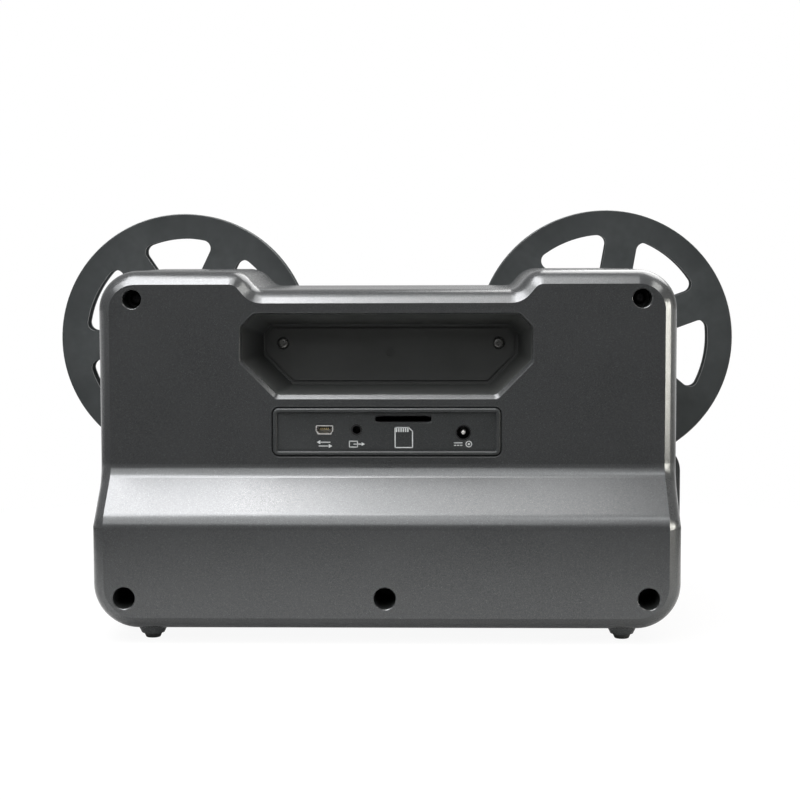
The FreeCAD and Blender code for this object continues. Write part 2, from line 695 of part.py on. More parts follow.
def socket_panel():
    """Plate sunk into the rear face, framed by a raised bead and cut out for the four sockets."""
    face = UPPER_REAR_Y - PANEL_SINK
    crest = face + BEAD_RISE
    plate = prism_y(panel_outline(PANEL_GAP), face - PANEL_THICK, crest)
    plate = plate.cut(prism_y(panel_outline(PANEL_GAP + BEAD_WIDTH), face, crest + 1))
    plate = round_edges(plate, BEAD_ROUND, lambda p, e: abs(p.y - crest) < 0.01)
    plate = plate.cut(prism_y(port_outline(0.25), 0.0, face + 1))
    plate = plate.cut(rod_y(AV_X, AV_Z, AV_NOZZLE + 0.05, 0.0, face + 1))
    plate = plate.cut(rod_y(DC_X, DC_Z, DC_NOZZLE + 0.05, 0.0, face + 1))
    plate = plate.cut(prism_y(card_outline(0.0), 0.0, face + 1))
    mouth = [rounded_wire(card_outline(grow), on_xz(face - CARD_FLARE + grow)) for grow in (0.0, CARD_FLARE)]
    return plate.cut(Part.makeLoft(mouth, True))


def card_outline(grow):
    """Outline of the card slot, lower at both ends where a card has its thinner rails."""
    half, middle = CARD_HALF_WIDTH + grow, CARD_HALF_WIDTH - CARD_RAIL
    tall, low = CARD_HALF_HEIGHT + grow, CARD_RAIL_HEIGHT + grow
    upper = [(half, low), (middle, tall), (-middle, tall), (-half, low)]
    lower = [(x, -z) for x, z in reversed(upper)]
    return sharp([(CARD_X + x, CARD_Z + z) for x, z in upper + lower])


def port_outline(grow):
    """Outline of the small five-pin socket: a box with drawn-in lower corners."""
    half, top, low = 3.85 + grow, PORT_Z + 2.0 + grow, PORT_Z - 2.0 - grow
    return [
        (PORT_X - half + 1.0, low, 0.3), (PORT_X + half - 1.0, low, 0.3), (PORT_X + half, PORT_Z - 0.4, 0.3),
        (PORT_X + half, top, 0.4), (PORT_X - half, top, 0.4), (PORT_X - half, PORT_Z - 0.4, 0.3),
    ]


def data_port():
    """Small sheet metal socket with its contact tongue, on a stand on the main board."""
    face = UPPER_REAR_Y - PANEL_SINK + 0.3
    shell = prism_y(port_outline(0.0), face - 9.0, face)
    shell = shell.cut(prism_y(port_outline(-0.35), face - 8.0, face + 1))
    tongue = box(PORT_X - 2.5, PORT_X + 2.5, face - 8.5, face - 1.5, PORT_Z + 0.2, PORT_Z + 1.0)
    stand = box(PORT_X - 2.8, PORT_X + 2.8, face - 9.0, SOCKET_FRONT_Y, BOARD_TOP, PORT_Z - 1.9)
    return join(shell, tongue, stand)


def av_jack():
    """Round jack for a 3.5 mm plug."""
    body = box(AV_X - 3.6, AV_X + 3.6, AV_BOTTOM_Y - 0.8, SOCKET_FRONT_Y, BOARD_TOP, AV_Z + 3.8)
    face = UPPER_REAR_Y - PANEL_SINK
    jack = join(body, rod_y(AV_X, AV_Z, AV_NOZZLE, SOCKET_FRONT_Y - 1, face))
    return jack.cut(rod_y(AV_X, AV_Z, AV_BORE, AV_BOTTOM_Y, face + 1))


def dc_jack():
    """Power jack: a round bore with a pin in its middle."""
    body = box(DC_X - 4.6, DC_X + 4.6, DC_BOTTOM_Y - 3.0, SOCKET_FRONT_Y, BOARD_TOP, DC_Z + 4.6)
    face = UPPER_REAR_Y - PANEL_SINK
    jack = join(body, rod_y(DC_X, DC_Z, DC_NOZZLE, SOCKET_FRONT_Y - 1, face))
    jack = jack.cut(rod_y(DC_X, DC_Z, DC_BORE, DC_BOTTOM_Y, face + 1))
    pin = rod_y(DC_X, DC_Z, DC_PIN, DC_BOTTOM_Y - 1, face - 0.5)
    pin = round_edges(pin, 0.7 * DC_PIN, lambda p, e: abs(p.y - face + 0.5) < 0.01)
    return jack.fuse(pin).removeSplitter()


def card_socket():
    """Flat socket for a memory card, raised on two legs over the main board."""
    body = box(CARD_X - 14.0, CARD_X + 14.0, 34.0, SOCKET_FRONT_Y, CARD_Z - 2.2, CARD_Z + 2.4)
    slot = box(CARD_X - 12.3, CARD_X + 12.3, 37.0, SOCKET_FRONT_Y + 1, CARD_Z - 1.3, CARD_Z + 1.3)
    legs = [box(x, x + 3.0, 36.0, 58.0, BOARD_TOP, CARD_Z - 2.2) for x in (CARD_X - 13.0, CARD_X + 10.0)]
    return body.cut(slot).fuse(legs).removeSplitter()


def main_board():
    """Flat circuit board under the sockets, with its larger chips and coils."""
    board = box(-BOARD_HALF_WIDTH, BOARD_HALF_WIDTH, -8.0, 61.0, BOARD_TOP - BOARD_THICK, BOARD_TOP)
    for x, y in BOARD_POSTS:
        board = board.cut(rod_z(x, y, 1.4, BOARD_TOP - 5, BOARD_TOP + 1))
    chips = [
        box(-9.0, 9.0, 6.0, 24.0, BOARD_TOP, BOARD_TOP + 1.6),
        box(16.0, 28.0, 8.0, 17.0, BOARD_TOP, BOARD_TOP + 1.2),
        box(-48.0, -41.0, 14.0, 21.0, BOARD_TOP, BOARD_TOP + 4.0),
        box(-36.0, -30.0, 15.0, 20.0, BOARD_TOP, BOARD_TOP + 2.5),
    ]
    cans = [rod_z(x, 30.0, 3.2, BOARD_TOP, BOARD_TOP + 8.0) for x in (-47.0, -38.0)]
    return join(board, *chips, *cans)


def board_screws():
    """Four screws that hold the main board on its posts."""
    screws = []
    for x, y in BOARD_POSTS:
        head = rod_z(x, y, 2.6, BOARD_TOP, BOARD_TOP + 1.7)
        shank = rod_z(x, y, 1.1, BOARD_TOP - 12, BOARD_TOP + 0.5)
        screws.append(join(head, shank).cut(cross(x, y, BOARD_TOP + 1.7, on_xy)))
    return group(screws)


def cross(u, v, top, place, size=1.5, depth=1.0):
    """Cross-shaped recess of a screw head, cut down from top along the place's normal."""
    arm = 0.3
    if place is on_xy:
        first = box(u - size, u + size, v - arm, v + arm, top - depth, top + 1)
        second = box(u - arm, u + arm, v - size, v + size, top - depth, top + 1)
    else:
        first = box(u - size, u + size, top - depth, top + 1, v - arm, v + arm)
        second = box(u - arm, u + arm, top - depth, top + 1, v - size, v + size)
    return first.fuse(second)


def pan_screw(x, z, seat, head_radius, head_height, shank_radius, length):
    """Screw along Y: its domed head stands on the seat and its shank runs forwards."""
    head = rod_y(x, z, head_radius, seat, seat + head_height)
    head = round_edges(head, head_height * 0.8, lambda p, e: abs(p.y - seat - head_height) < 0.01)
    shank = rod_y(x, z, shank_radius, seat - length, seat + 0.2)
    screw = join(head, shank)
    return screw.cut(cross(x, z, seat + head_height, on_xz, head_radius * 0.55, head_height * 0.6))


def case_screws():
    """Five screws at the bottom of the deep rear holes."""
    return group(pan_screw(x, z, SCREW_SEAT_Y, 3.0, 2.4, 1.5, 18.0) for x, z, _ in SCREW_HOLES)


def recess_screws():
    """Two screws in the floor of the carrying recess."""
    seat = RECESS_FLOOR_Y - 0.6
    return group(pan_screw(x, RECESS_SCREW_Z, seat, 2.6, 1.7, 1.2, 11.0) for x in RECESS_SCREW_XS)


def rubber_feet():
    """Four tapered rubber pads pressed into the bosses underneath."""
    pads = []
    for x in (-FOOT_X, FOOT_X):
        for y in (-FOOT_Y, FOOT_Y):
            cone = Part.makeCone(*PAD_RADII, BOSS_TIP - FOOT_SOLE, Vec(x, y, FOOT_SOLE), Vec(0, 0, 1))
            cone = round_edges(cone, 0.5, lambda p, e: abs(p.z - FOOT_SOLE) < 0.01)
            pads.append(join(cone, rod_z(x, y, PAD_RADII[1], BOSS_TIP, PAD_SEAT)))
    return group(pads)


# Screen and keys

def control_panel():
    """Thin front panel round the screen and the five keys."""
    outline = rectangle(-PANEL_FRONT_HALF, PANEL_FRONT_HALF, PANEL_FRONT_LOW, PANEL_FRONT_HIGH, 5.0)
    plate = prism_y(outline, DECK_Y - 1.5, DECK_Y)
    plate = bevel_edges(plate, 0.7, lambda p, e: abs(p.y - DECK_Y + 1.5) < 0.01)
    view = rectangle(2 - SCREEN_HALF_WIDTH, SCREEN_HALF_WIDTH - 2, SCREEN_BOTTOM + 2, SCREEN_TOP - 2, 1.5)
    plate = plate.cut(prism_y(view, DECK_Y - 3, DECK_Y + 1))
    for x in BUTTON_XS:
        plate = plate.cut(rod_y(x, BUTTON_Z, BUTTON_RADIUS + 0.4, DECK_Y - 3, DECK_Y + 1))
    return plate


def screen_glass():
    """Stepped window pane over the screen, held by the front panel."""
    half = SCREEN_HALF_WIDTH - 2.2
    pane = rectangle(-half, half, SCREEN_BOTTOM + 2.2, SCREEN_TOP - 2.2, 1.3)
    step = rectangle(0.2 - SCREEN_HALF_WIDTH, SCREEN_HALF_WIDTH - 0.2, SCREEN_BOTTOM + 0.2, SCREEN_TOP - 0.2)
    return join(prism_y(pane, DECK_Y - 1.4, DECK_Y + 0.4), prism_y(step, DECK_Y, DECK_Y + 0.8))


def display_module():
    """Flat display behind the pane, with its metal frame behind the wall."""
    face = box(1 - SCREEN_HALF_WIDTH, SCREEN_HALF_WIDTH - 1, DECK_Y + 0.8, DECK_Y + 3.5,
               SCREEN_BOTTOM + 1, SCREEN_TOP - 1)
    frame = box(-SCREEN_HALF_WIDTH - 1.5, SCREEN_HALF_WIDTH + 1.5, DECK_Y + WALL, DECK_Y + 6.0,
                SCREEN_BOTTOM - 1.5, SCREEN_TOP + 1.0)
    return join(face, frame)


def keypad_board():
    """Narrow circuit board with a dome switch behind each key."""
    board = box(-36.0, 36.0, KEYPAD_Y, KEYPAD_Y + 1.6, BUTTON_Z - 6.5, BUTTON_Z + 6.0)
    domes = [cone_y(x, BUTTON_Z, 1.6, 2.4, KEYPAD_Y - 0.8, KEYPAD_Y) for x in BUTTON_XS]
    return join(board, *domes)


def button(x):
    """One round key with the flange that keeps it in and the plunger that presses the dome."""
    cap = rod_y(x, BUTTON_Z, BUTTON_RADIUS, DECK_Y - 2.6, DECK_Y + 2.9)
    cap = round_edges(cap, 0.7, lambda p, e: abs(p.y - DECK_Y + 2.6) < 0.01)
    flange = rod_y(x, BUTTON_Z, BUTTON_RADIUS + 1.2, DECK_Y + 2.7, DECK_Y + 3.7)
    return join(cap, flange, rod_y(x, BUTTON_Z, 1.5, DECK_Y + 3.5, KEYPAD_Y - 2.2))


def size_slider():
    """Small thumb slider that is set to one of the two film sizes."""
    knob = box(SLIDER_X - 3.6, SLIDER_X + 3.6, DECK_Y - 3.6, DECK_Y - 0.4, SLIDER_Z - 4.0, SLIDER_Z + 4.0)
    knob = bevel_edges(knob, 0.8, lambda p, e: abs(p.y - DECK_Y + 3.6) < 0.01)
    for offset in (-1.8, 0.0, 1.8):
        groove = box(SLIDER_X + offset - 0.35, SLIDER_X + offset + 0.35, DECK_Y - 4.0, DECK_Y - 3.1,
                     SLIDER_Z - 5.0, SLIDER_Z + 5.0)
        knob = knob.cut(groove)
    stem = box(SLIDER_X - 2.0, SLIDER_X + 2.0, DECK_Y - 1.0, DECK_Y + 3.0, SLIDER_Z - 1.8, SLIDER_Z + 1.8)
    keeper = box(SLIDER_X - 4.0, SLIDER_X + 4.0, DECK_Y + 2.8, DECK_Y + 3.8, SLIDER_Z - 4.0, SLIDER_Z + 4.0)
    return join(knob, stem, keeper)


# Gears

def gear(x, z, teeth, module, phase, y0, y1):
    """Spur gear along Y with true flanks; the middle of one tooth points to angle phase."""
    pitch = module * teeth / 2
    base = pitch * math.cos(PRESSURE_ANGLE)
    tip = pitch + TOOTH_ADDENDUM * module
    root = pitch - TOOTH_DEDENDUM * module
    flank_start = max(base, root + 0.02)
    radii = [flank_start, (flank_start + pitch) / 2, pitch, (pitch + tip) / 2, tip]
    half_pitch_angle = math.pi / teeth * TOOTH_FILL / 2

    def half_angle(radius):
        """Half the tooth's angle at a radius."""
        turned = math.acos(min(1.0, base / radius))
        return half_pitch_angle + involute(PRESSURE_ANGLE) - involute(turned)

    points = []
    for tooth in range(teeth):
        middle = phase + 2 * math.pi * tooth / teeth
        widths = [(root, half_angle(flank_start))] + [(r, half_angle(r)) for r in radii]
        points += [polar(x, z, r, middle - a) for r, a in widths]
        points += [polar(x, z, r, middle + a) for r, a in reversed(widths)]
    return prism_y(sharp(points), y0, y1)


def involute(angle):
    """Angle swept by an involute at a pressure angle."""
    return math.tan(angle) - angle


def polar(x, z, radius, angle):
    """Point at a radius and an angle round (x, z)."""
    return x + radius * math.cos(angle), z + radius * math.sin(angle)


def inward(reel_x):
    """Angle from a reel's axis towards the middle of the scanner."""
    return math.pi if reel_x > 0 else 0.0


# Reels and spindles

def spindle(x):
    """Turning spindle: shaft, platform behind the reel, core with three keys, and a nose."""
    shaft = rod_y(x, REEL_Z, SPINDLE_RADIUS, PLATFORM_REAR_Y - 1, -25.0)
    platform = rod_y(x, REEL_Z, 9.0, REEL_REAR_Y + 0.1, PLATFORM_REAR_Y)
    core = rod_y(x, REEL_Z, SPINDLE_CORE, REEL_FRONT_Y - 3.0, REEL_REAR_Y + 1)
    nose = cone_y(x, REEL_Z, SPINDLE_CORE - 2.0, SPINDLE_CORE, REEL_FRONT_Y - 5.5, REEL_FRONT_Y - 3.0)
    depths = REEL_FRONT_Y - 1.5, REEL_REAR_Y + 1
    keys = [key(x, angle, SPINDLE_CORE + 0.9, 1.6, *depths) for angle in KEY_ANGLES]
    return join(shaft, platform, core, nose, *keys)


def key(x, angle, reach, width, y0, y1):
    """Radial bar along Y, from a reel's axis out to reach."""
    bar = box(x, x + reach, y0, y1, REEL_Z - width / 2, REEL_Z + width / 2)
    return bar.rotated(Vec(x, 0, REEL_Z), Vec(0, 1, 0), angle)


def spindle_bushes():
    """Two flanged bushes in the front wall, in which the spindles turn."""
    bushes = []
    for x in (-REEL_X, REEL_X):
        sleeve = rod_y(x, REEL_Z, 5.0, DECK_Y - 0.9, -36.0)
        flange = rod_y(x, REEL_Z, 7.0, DECK_Y - 0.9, DECK_Y)
        bushes.append(join(sleeve, flange).cut(rod_y(x, REEL_Z, SPINDLE_RADIUS + RUNNING_GAP, -50.0, -30.0)))
    return group(bushes)


def reel_gear(x):
    """Large gear pressed on a spindle's shaft, with its hub."""
    wheel = gear(x, REEL_Z, REEL_GEAR_TEETH, REEL_MODULE, inward(x), -34.2, -30.2)
    hub = rod_y(x, REEL_Z, 6.0, -35.8, -27.0)
    return join(wheel, hub).cut(rod_y(x, REEL_Z, SPINDLE_RADIUS, -40.0, -20.0))


def reel_pinion(x):
    """Motor shaft with the small gear that turns a spindle."""
    phase = inward(x) + math.pi + math.pi / PINION_TEETH
    wheel = gear(motor_x(x), REEL_Z, PINION_TEETH, REEL_MODULE, phase, -34.4, -30.0)
    return join(wheel, rod_y(motor_x(x), REEL_Z, 1.0, -34.4, -20.0))


def reel_motor(x):
    """Small round gear motor with the boss that centres it in its bracket."""
    can = rod_y(motor_x(x), REEL_Z, MOTOR_RADIUS, BRACKET_REAR_Y, BRACKET_REAR_Y + 26.0)
    can = round_edges(can, 1.0, lambda p, e: abs(p.y - BRACKET_REAR_Y) < 0.01 or p.y > -1.0)
    boss = rod_y(motor_x(x), REEL_Z, 4.0, BRACKET_FRONT_Y, BRACKET_REAR_Y + 1)
    return join(can, boss).cut(rod_y(motor_x(x), REEL_Z, 1.0 + RUNNING_GAP, -30.0, -19.5))


def motor_brackets():
    """Two sheet metal brackets that carry the reel motors on their posts."""
    brackets = []
    for reel in (-REEL_X, REEL_X):
        x = motor_x(reel)
        plate = prism_y(rectangle(x - 7.0, x + 7.0, REEL_Z - 19.0, REEL_Z + 19.0, 3.0),
                        BRACKET_FRONT_Y, BRACKET_REAR_Y)
        plate = plate.cut(rod_y(x, REEL_Z, 4.0, -40.0, -20.0))
        for px, pz in motor_posts(reel):
            plate = plate.cut(rod_y(px, pz, 1.2, -40.0, -20.0))
        brackets.append(plate)
    return group(brackets)


def bracket_screws():
    """Four screws that hold the motor brackets."""
    places = [place for reel in (-REEL_X, REEL_X) for place in motor_posts(reel)]
    return group(pan_screw(x, z, BRACKET_REAR_Y, 2.0, 1.4, 1.0, 8.0) for x, z in places)


def flange(x, side, y0, y1):
    """Reel flange with its six windows and its bore with three key slots."""
    disc = rod_y(x, REEL_Z, REEL_RADII[side], y0, y1)
    disc = round_edges(disc, 0.5, lambda p, e: True)
    for i in range(6):
        angle = WINDOW_ANGLES[side] + 60.0 * i
        cutter = window(side, y0 - 1, y1 + 1).rotated(Vec(0, 0, 0), Vec(0, 1, 0), -angle)
        disc = disc.cut(cutter.translated(Vec(x, 0, REEL_Z)))
    disc = disc.cut(rod_y(x, REEL_Z, REEL_BORE, y0 - 1, y1 + 1))
    for angle in KEY_ANGLES:
        disc = disc.cut(key(x, angle, REEL_BORE + 1.3, 2.2, y0 - 1, y1 + 1))
    return disc


def window(side, y0, y1):
    """One flange window about the +X direction: a wedge between two straight spokes."""
    half_spoke = SPOKE_WIDTHS[side] / 2
    lean = math.radians(30.0)
    start = WINDOW_INNER
    end = WINDOW_OUTER_RADII[side]
    near = math.asin(half_spoke / start)
    far = math.asin(half_spoke / end)
    inner_point = polar(0, 0, start, lean - near)
    outer_point = polar(0, 0, end, lean - far)
    cap = rod_y(0, 0, end, y0, y1)
    reach = outer_point[0] + 8.0
    slope = (outer_point[1] - inner_point[1]) / (outer_point[0] - inner_point[0])
    rise = inner_point[1] + slope * (reach - inner_point[0])
    wedge = prism_y(sharp([
        (inner_point[0], -inner_point[1]), (reach, -rise), (reach, rise), inner_point]), y0, y1)
    blank = wedge.common(cap).cut(rod_y(0, 0, start, y0, y1))
    return round_edges(blank, WINDOW_CORNER, lambda p, e: abs(e.tangentAt(0.0).y) > 0.99 and p.x > 35.0)


def reel_back(x, side):
    """Rear half of a reel: flange, core for the film and keyed boss."""
    plate = flange(x, side, REEL_REAR_Y - FLANGE_THICK, REEL_REAR_Y)
    inner_y = REEL_FRONT_Y + FLANGE_THICK
    core = tube_y(x, REEL_Z, HUB_RADIUS, HUB_RADIUS - 1.6, inner_y, REEL_REAR_Y - 1)
    boss = tube_y(x, REEL_Z, REEL_BORE + 3.0, REEL_BORE, inner_y + 0.6, REEL_REAR_Y - 1)
    ribs = [
        box(x + REEL_BORE + 2, x + HUB_RADIUS - 1, inner_y + 4.4, REEL_REAR_Y - 1, REEL_Z - 0.7, REEL_Z + 0.7)
        .rotated(Vec(x, 0, REEL_Z), Vec(0, 1, 0), angle + 60.0) for angle in KEY_ANGLES]
    half = join(plate, core, boss, *ribs)
    for angle in KEY_ANGLES:
        half = half.cut(key(x, angle, REEL_BORE + 1.3, 2.2, REEL_FRONT_Y, REEL_REAR_Y + 1))
    slit = box(x - 0.6, x + 0.6, inner_y - 1, REEL_REAR_Y - FLANGE_THICK, REEL_Z + 12.0, REEL_Z + 18.0)
    return half.cut(slit).removeSplitter()


def reel_front(x, side):
    """Front half of a reel: flange with the ring that snaps into the core."""
    plate = flange(x, side, REEL_FRONT_Y, REEL_FRONT_Y + FLANGE_THICK)
    outer = HUB_RADIUS - 1.6
    ring = tube_y(x, REEL_Z, outer, outer - 1.4, REEL_FRONT_Y + 1, REEL_FRONT_Y + FLANGE_THICK + 4.0)
    return join(plate, ring)


# Film track, gate and transport

def gate_plate():
    """Metal film track with its channel, picture aperture and claw slot."""
    plate = box(-GATE_HALF_WIDTH, GATE_HALF_WIDTH, -66.0, -48.5, TRAY_TOP, GATE_TOP)
    plate = bevel_edges(plate, 1.2, lambda p, e: abs(p.z - GATE_TOP) < 0.01)
    channel = box(-40.0, 40.0, FILM_Y - 4.2, FILM_Y + 4.2, TRACK_FLOOR, GATE_TOP + 1)
    relief = box(-18.0, 18.0, -63.0, -50.5, TRAY_TOP - 1, TRACK_FLOOR - 2.0)
    aperture = box(-2.9, 2.9, FILM_Y - 2.1, FILM_Y + 2.1, TRAY_TOP, GATE_TOP)
    slot = box(CLAW_X - 0.3, CLAW_X + 1.2 + FRAME_PITCH + 0.5, CLAW_Y - 1.3, CLAW_Y + 1.3, TRAY_TOP, GATE_TOP)
    plate = plate.cut(channel).cut(relief).cut(aperture).cut(slot)
    for side in (-1, 1):
        start, end = side * (GATE_HALF_WIDTH - 8.0), side * (GATE_HALF_WIDTH + 1.0)
        low, high = TRACK_FLOOR - 1.5, TRACK_FLOOR + 0.5
        ramp = sharp([(start, TRACK_FLOOR), (end, low), (end, high), (start, high)])
        plate = plate.cut(prism_y(ramp, FILM_Y - 4.2, FILM_Y + 4.2))
    return plate.removeSplitter()


def hinge_ears():
    """Two ears on the deck that hold the gate's hinge pin."""
    ears = []
    for x0, x1 in hinge_ear_spans():
        body = box(x0, x1, HINGE_Y, DECK_Y + 1.0, HINGE_Z - 4.0, HINGE_Z + 4.0)
        ear = join(body, rod_x(HINGE_Y, HINGE_Z, 4.0, x0, x1))
        ears.append(ear.cut(rod_x(HINGE_Y, HINGE_Z, HINGE_PIN, x0 - 1, x1 + 1)))
    return ears


def hinge_pin():
    """Steel pin of the gate hinge."""
    end = DOOR_HALF_WIDTH + 4.4
    return rod_x(HINGE_Y, HINGE_Z, HINGE_PIN, -end, end)


def gate_door():
    """Hinged door over the film: a hollow cover with two knuckles and a thumb tab."""
    half = DOOR_HALF_WIDTH
    cover = prism_x([
        (-72.0, 46.0, 1.0), (-50.5, 46.0, 1.0), (-50.5, 61.0, 1.0), (-66.0, 61.0, 4.0), (-72.0, 55.0, 3.0)],
        -half, half)
    tab = box(-8.0, 8.0, -76.0, -71.0, 47.0, 49.4)
    tab = round_edges(tab, 1.1, lambda p, e: abs(p.y + 76.0) < 0.01)
    knuckles = [rod_x(HINGE_Y, HINGE_Z, 3.2, x, x + 10.0) for x in (-half, half - 10.0)]
    door = join(cover, tab, *knuckles)
    door = door.cut(box(-18.0, 18.0, -66.0, -52.5, 45.0, 47.5))
    door = door.cut(box(-14.0, 14.0, -64.0, -54.0, 46.0, 57.0))
    return door.cut(rod_x(HINGE_Y, HINGE_Z, HINGE_PIN + RUNNING_GAP, -half - 1, half + 1))


def pressure_plate():
    """Plate that closes the door from below and keeps the film flat."""
    plate = box(-18.0, 18.0, -66.0, -52.5, 46.0, 47.5)
    return plate.cut(box(-6.0, 6.0, -60.0, -54.5, 45.0, 48.0))


def diffuser():
    """Milky block that spreads the light over the film."""
    return join(box(-6.0, 6.0, -60.0, -54.5, 45.2, 48.0), box(-8.0, 8.0, -62.0, -54.2, 47.5, 48.5))


def light_board():
    """Small board in the door with the lamp chip that faces the film."""
    board = box(-14.0, 14.0, -64.0, -54.0, 52.0, 53.2)
    return join(board, box(-2.5, 2.5, FILM_Y - 2.5, FILM_Y + 2.5, 50.6, 52.0))


def roller_posts():
    """Four fixed posts with a collar at the deck and a cap that keeps the roller on."""
    posts = []
    for x in roller_xs():
        collar = rod_y(x, ROLLER_Z, 4.5, -51.2, DECK_Y)
        cap = rod_y(x, ROLLER_Z, 3.8, -63.6, -62.3)
        cap = round_edges(cap, 0.5, lambda p, e: abs(p.y + 63.6) < 0.01)
        posts.append(join(rod_y(x, ROLLER_Z, POST_RADIUS, -63.0, DECK_Y + WALL), collar, cap))
    return group(posts)


def guide_roller(x):
    """Film roller with two flanges that keep the film in line."""
    waist = ROLLER_RADIUS - 1.8
    profile = [
        (ROLLER_BORE, -51.4), (ROLLER_RADIUS, -51.4), (ROLLER_RADIUS, -52.3), (waist, FILM_Y + 4.2),
        (waist, FILM_Y - 4.2), (ROLLER_RADIUS, -61.2), (ROLLER_RADIUS, -62.1), (ROLLER_BORE, -62.1),
    ]
    place = lambda r, y: Vec(x + r, y, ROLLER_Z)
    face = Part.Face(rounded_wire(sharp(profile), place))
    return face.revolve(Vec(x, 0, ROLLER_Z), Vec(0, 1, 0), 360)


def transport_frame():
    """Upright plate in the tray that carries the transport motor and the cam shaft."""
    plate = box(9.5, 52.0, PLATE_FRONT_Y, PLATE_REAR_Y, CASE_BOTTOM + WALL, 34.0)
    plate = plate.cut(rod_y(CAM_X, CAM_Z, CAM_SHAFT + RUNNING_GAP, -70.0, -60.0))
    return plate.cut(rod_y(transport_motor_x(), CAM_Z, 2.5, -70.0, -60.0))


def transport_motor_x():
    """Width position of the transport motor."""
    return CAM_X + CAM_MODULE * (CAM_TEETH + PINION_TEETH) / 2


def transport_motor():
    """Small motor in front of the transport frame."""
    x = transport_motor_x()
    can = rod_y(x, CAM_Z, 6.5, -84.0, PLATE_FRONT_Y)
    can = round_edges(can, 0.8, lambda p, e: abs(p.y + 84.0) < 0.01)
    boss = rod_y(x, CAM_Z, 2.5, PLATE_FRONT_Y - 1, PLATE_REAR_Y)
    return join(can, boss).cut(rod_y(x, CAM_Z, 0.8 + RUNNING_GAP, -78.0, -60.0))


def transport_pinion():
    """Transport motor's shaft with its small gear."""
    x = transport_motor_x()
    phase = math.pi + math.pi / PINION_TEETH
    wheel = gear(x, CAM_Z, PINION_TEETH, CAM_MODULE, phase, -63.7, -61.3)
    return join(wheel, rod_y(x, CAM_Z, 0.8, -77.5, -61.3))


def cam_gear():
    """Gear on the cam shaft, with the eccentric that drives the claw."""
    wheel = gear(CAM_X, CAM_Z, CAM_TEETH, CAM_MODULE, 0.0, -63.6, -61.4)
    shaft = rod_y(CAM_X, CAM_Z, CAM_SHAFT, -67.5, -61.0)
    cam = rod_y(CAM_X - CAM_THROW, CAM_Z, CAM_RADIUS, -61.5, -58.4)
    return join(wheel, shaft, cam)


def claw_lever():
    """Sliding claw: a frame round the eccentric and an arm whose tip reaches the film."""
    sweep = CAM_RADIUS + CAM_THROW + 0.4
    left, right = CAM_X - sweep - FRAME_PITCH, CAM_X + sweep
    y0, y1 = CLAW_Y - 0.8, CLAW_Y + 0.8
    low, high = CAM_Z - sweep - 2.2, CAM_Z + sweep + 2.0
    frame = box(left - 2.4, right + 2.2, y0, y1, low, high)
    frame = frame.cut(box(left, right, y0 - 1, y1 + 1, CAM_Z - sweep, CAM_Z + sweep))
    arm = box(CLAW_X, left, y0, y1, high - 4.0, high)
    post = box(CLAW_X, CLAW_X + 2.4, y0, y1, high - 4.0, 36.0)
    tip = box(CLAW_X, CLAW_X + 1.2, y0 + 0.3, y1 - 0.3, 35.0, GATE_TOP - 0.6)
    return join(frame, arm, post, tip)


def claw_guide():
    """Grooved rail on the tray's floor in which the claw slides."""
    sweep = CAM_RADIUS + CAM_THROW + 0.4
    low = CAM_Z - sweep - 2.2
    rail = box(11.0, 42.0, CLAW_Y - 1.5, CLAW_Y + 3.0, CASE_BOTTOM + 1, low + 1.2)
    return rail.cut(box(10.0, 43.0, CLAW_Y - 0.9, CLAW_Y + 0.9, low - 0.1, low + 2.0))


# Camera

def mirror_wedge():
    """Wedge on the tray's floor that carries the folding mirror."""
    back = mirror_line(MIRROR_THICK)
    floor = CASE_BOTTOM + WALL - 1
    corners = [back[0], back[1], (back[1][0], floor), (-66.0, floor), (-66.0, back[0][1])]
    return prism_x(sharp(corners), -8.5, 8.5)


def mirror_line(depth):
    """Ends of a line along the mirror, at a depth behind its face."""
    half = 6.5
    shift = depth * math.sqrt(0.5)
    return (FILM_Y - half - shift, OPTIC_Z + half - shift), (FILM_Y + half - shift, OPTIC_Z - half - shift)


def fold_mirror():
    """Mirror at 45 degrees that turns the light from the film into the lens."""
    front, back = mirror_line(0.0), mirror_line(MIRROR_THICK)
    return prism_x(sharp([front[0], front[1], back[1], back[0]]), -8.0, 8.0)


def lens_barrel():
    """Stepped lens barrel with a grip ring."""
    barrel = rod_y(0.0, OPTIC_Z, LENS_RADIUS, -44.0, -24.0)
    ring = rod_y(0.0, OPTIC_Z, LENS_RADIUS + 1.2, -46.0, -40.0)
    ring = bevel_edges(ring, 0.5, lambda p, e: True)
    barrel = join(barrel, ring).cut(rod_y(0.0, OPTIC_Z, 5.0, -47.0, -20.0))
    return barrel.cut(cone_y(0.0, OPTIC_Z, 6.4, 5.0, -46.0, -44.5))


def lens_elements():
    """Two lenses inside the barrel."""
    return group(rod_y(0.0, OPTIC_Z, 5.0, y, y + 2.4) for y in (-44.0, -29.0))


def camera_bracket():
    """Sheet bracket with a cradle for the lens and a back plate for the sensor board."""
    floor = CASE_BOTTOM + WALL
    base = box(-14.0, 14.0, -42.0, -10.0, floor, floor + 2.0)
    back = box(-14.0, 14.0, -14.0, -12.0, floor + 1, 42.0).cut(rod_y(0.0, OPTIC_Z, 6.0, -15.0, -11.0))
    cradle = box(-10.5, 10.5, -36.0, -30.0, floor + 1, OPTIC_Z).cut(
        rod_y(0.0, OPTIC_Z, LENS_RADIUS, -40.0, -20.0))
    return join(base, back, cradle)


def sensor_board():
    """Board behind the lens with the picture sensor."""
    board = box(-13.0, 13.0, -12.0, -10.4, 14.0, 40.0)
    return join(board, box(-4.0, 4.0, -13.6, -11.5, OPTIC_Z - 4.0, OPTIC_Z + 4.0))


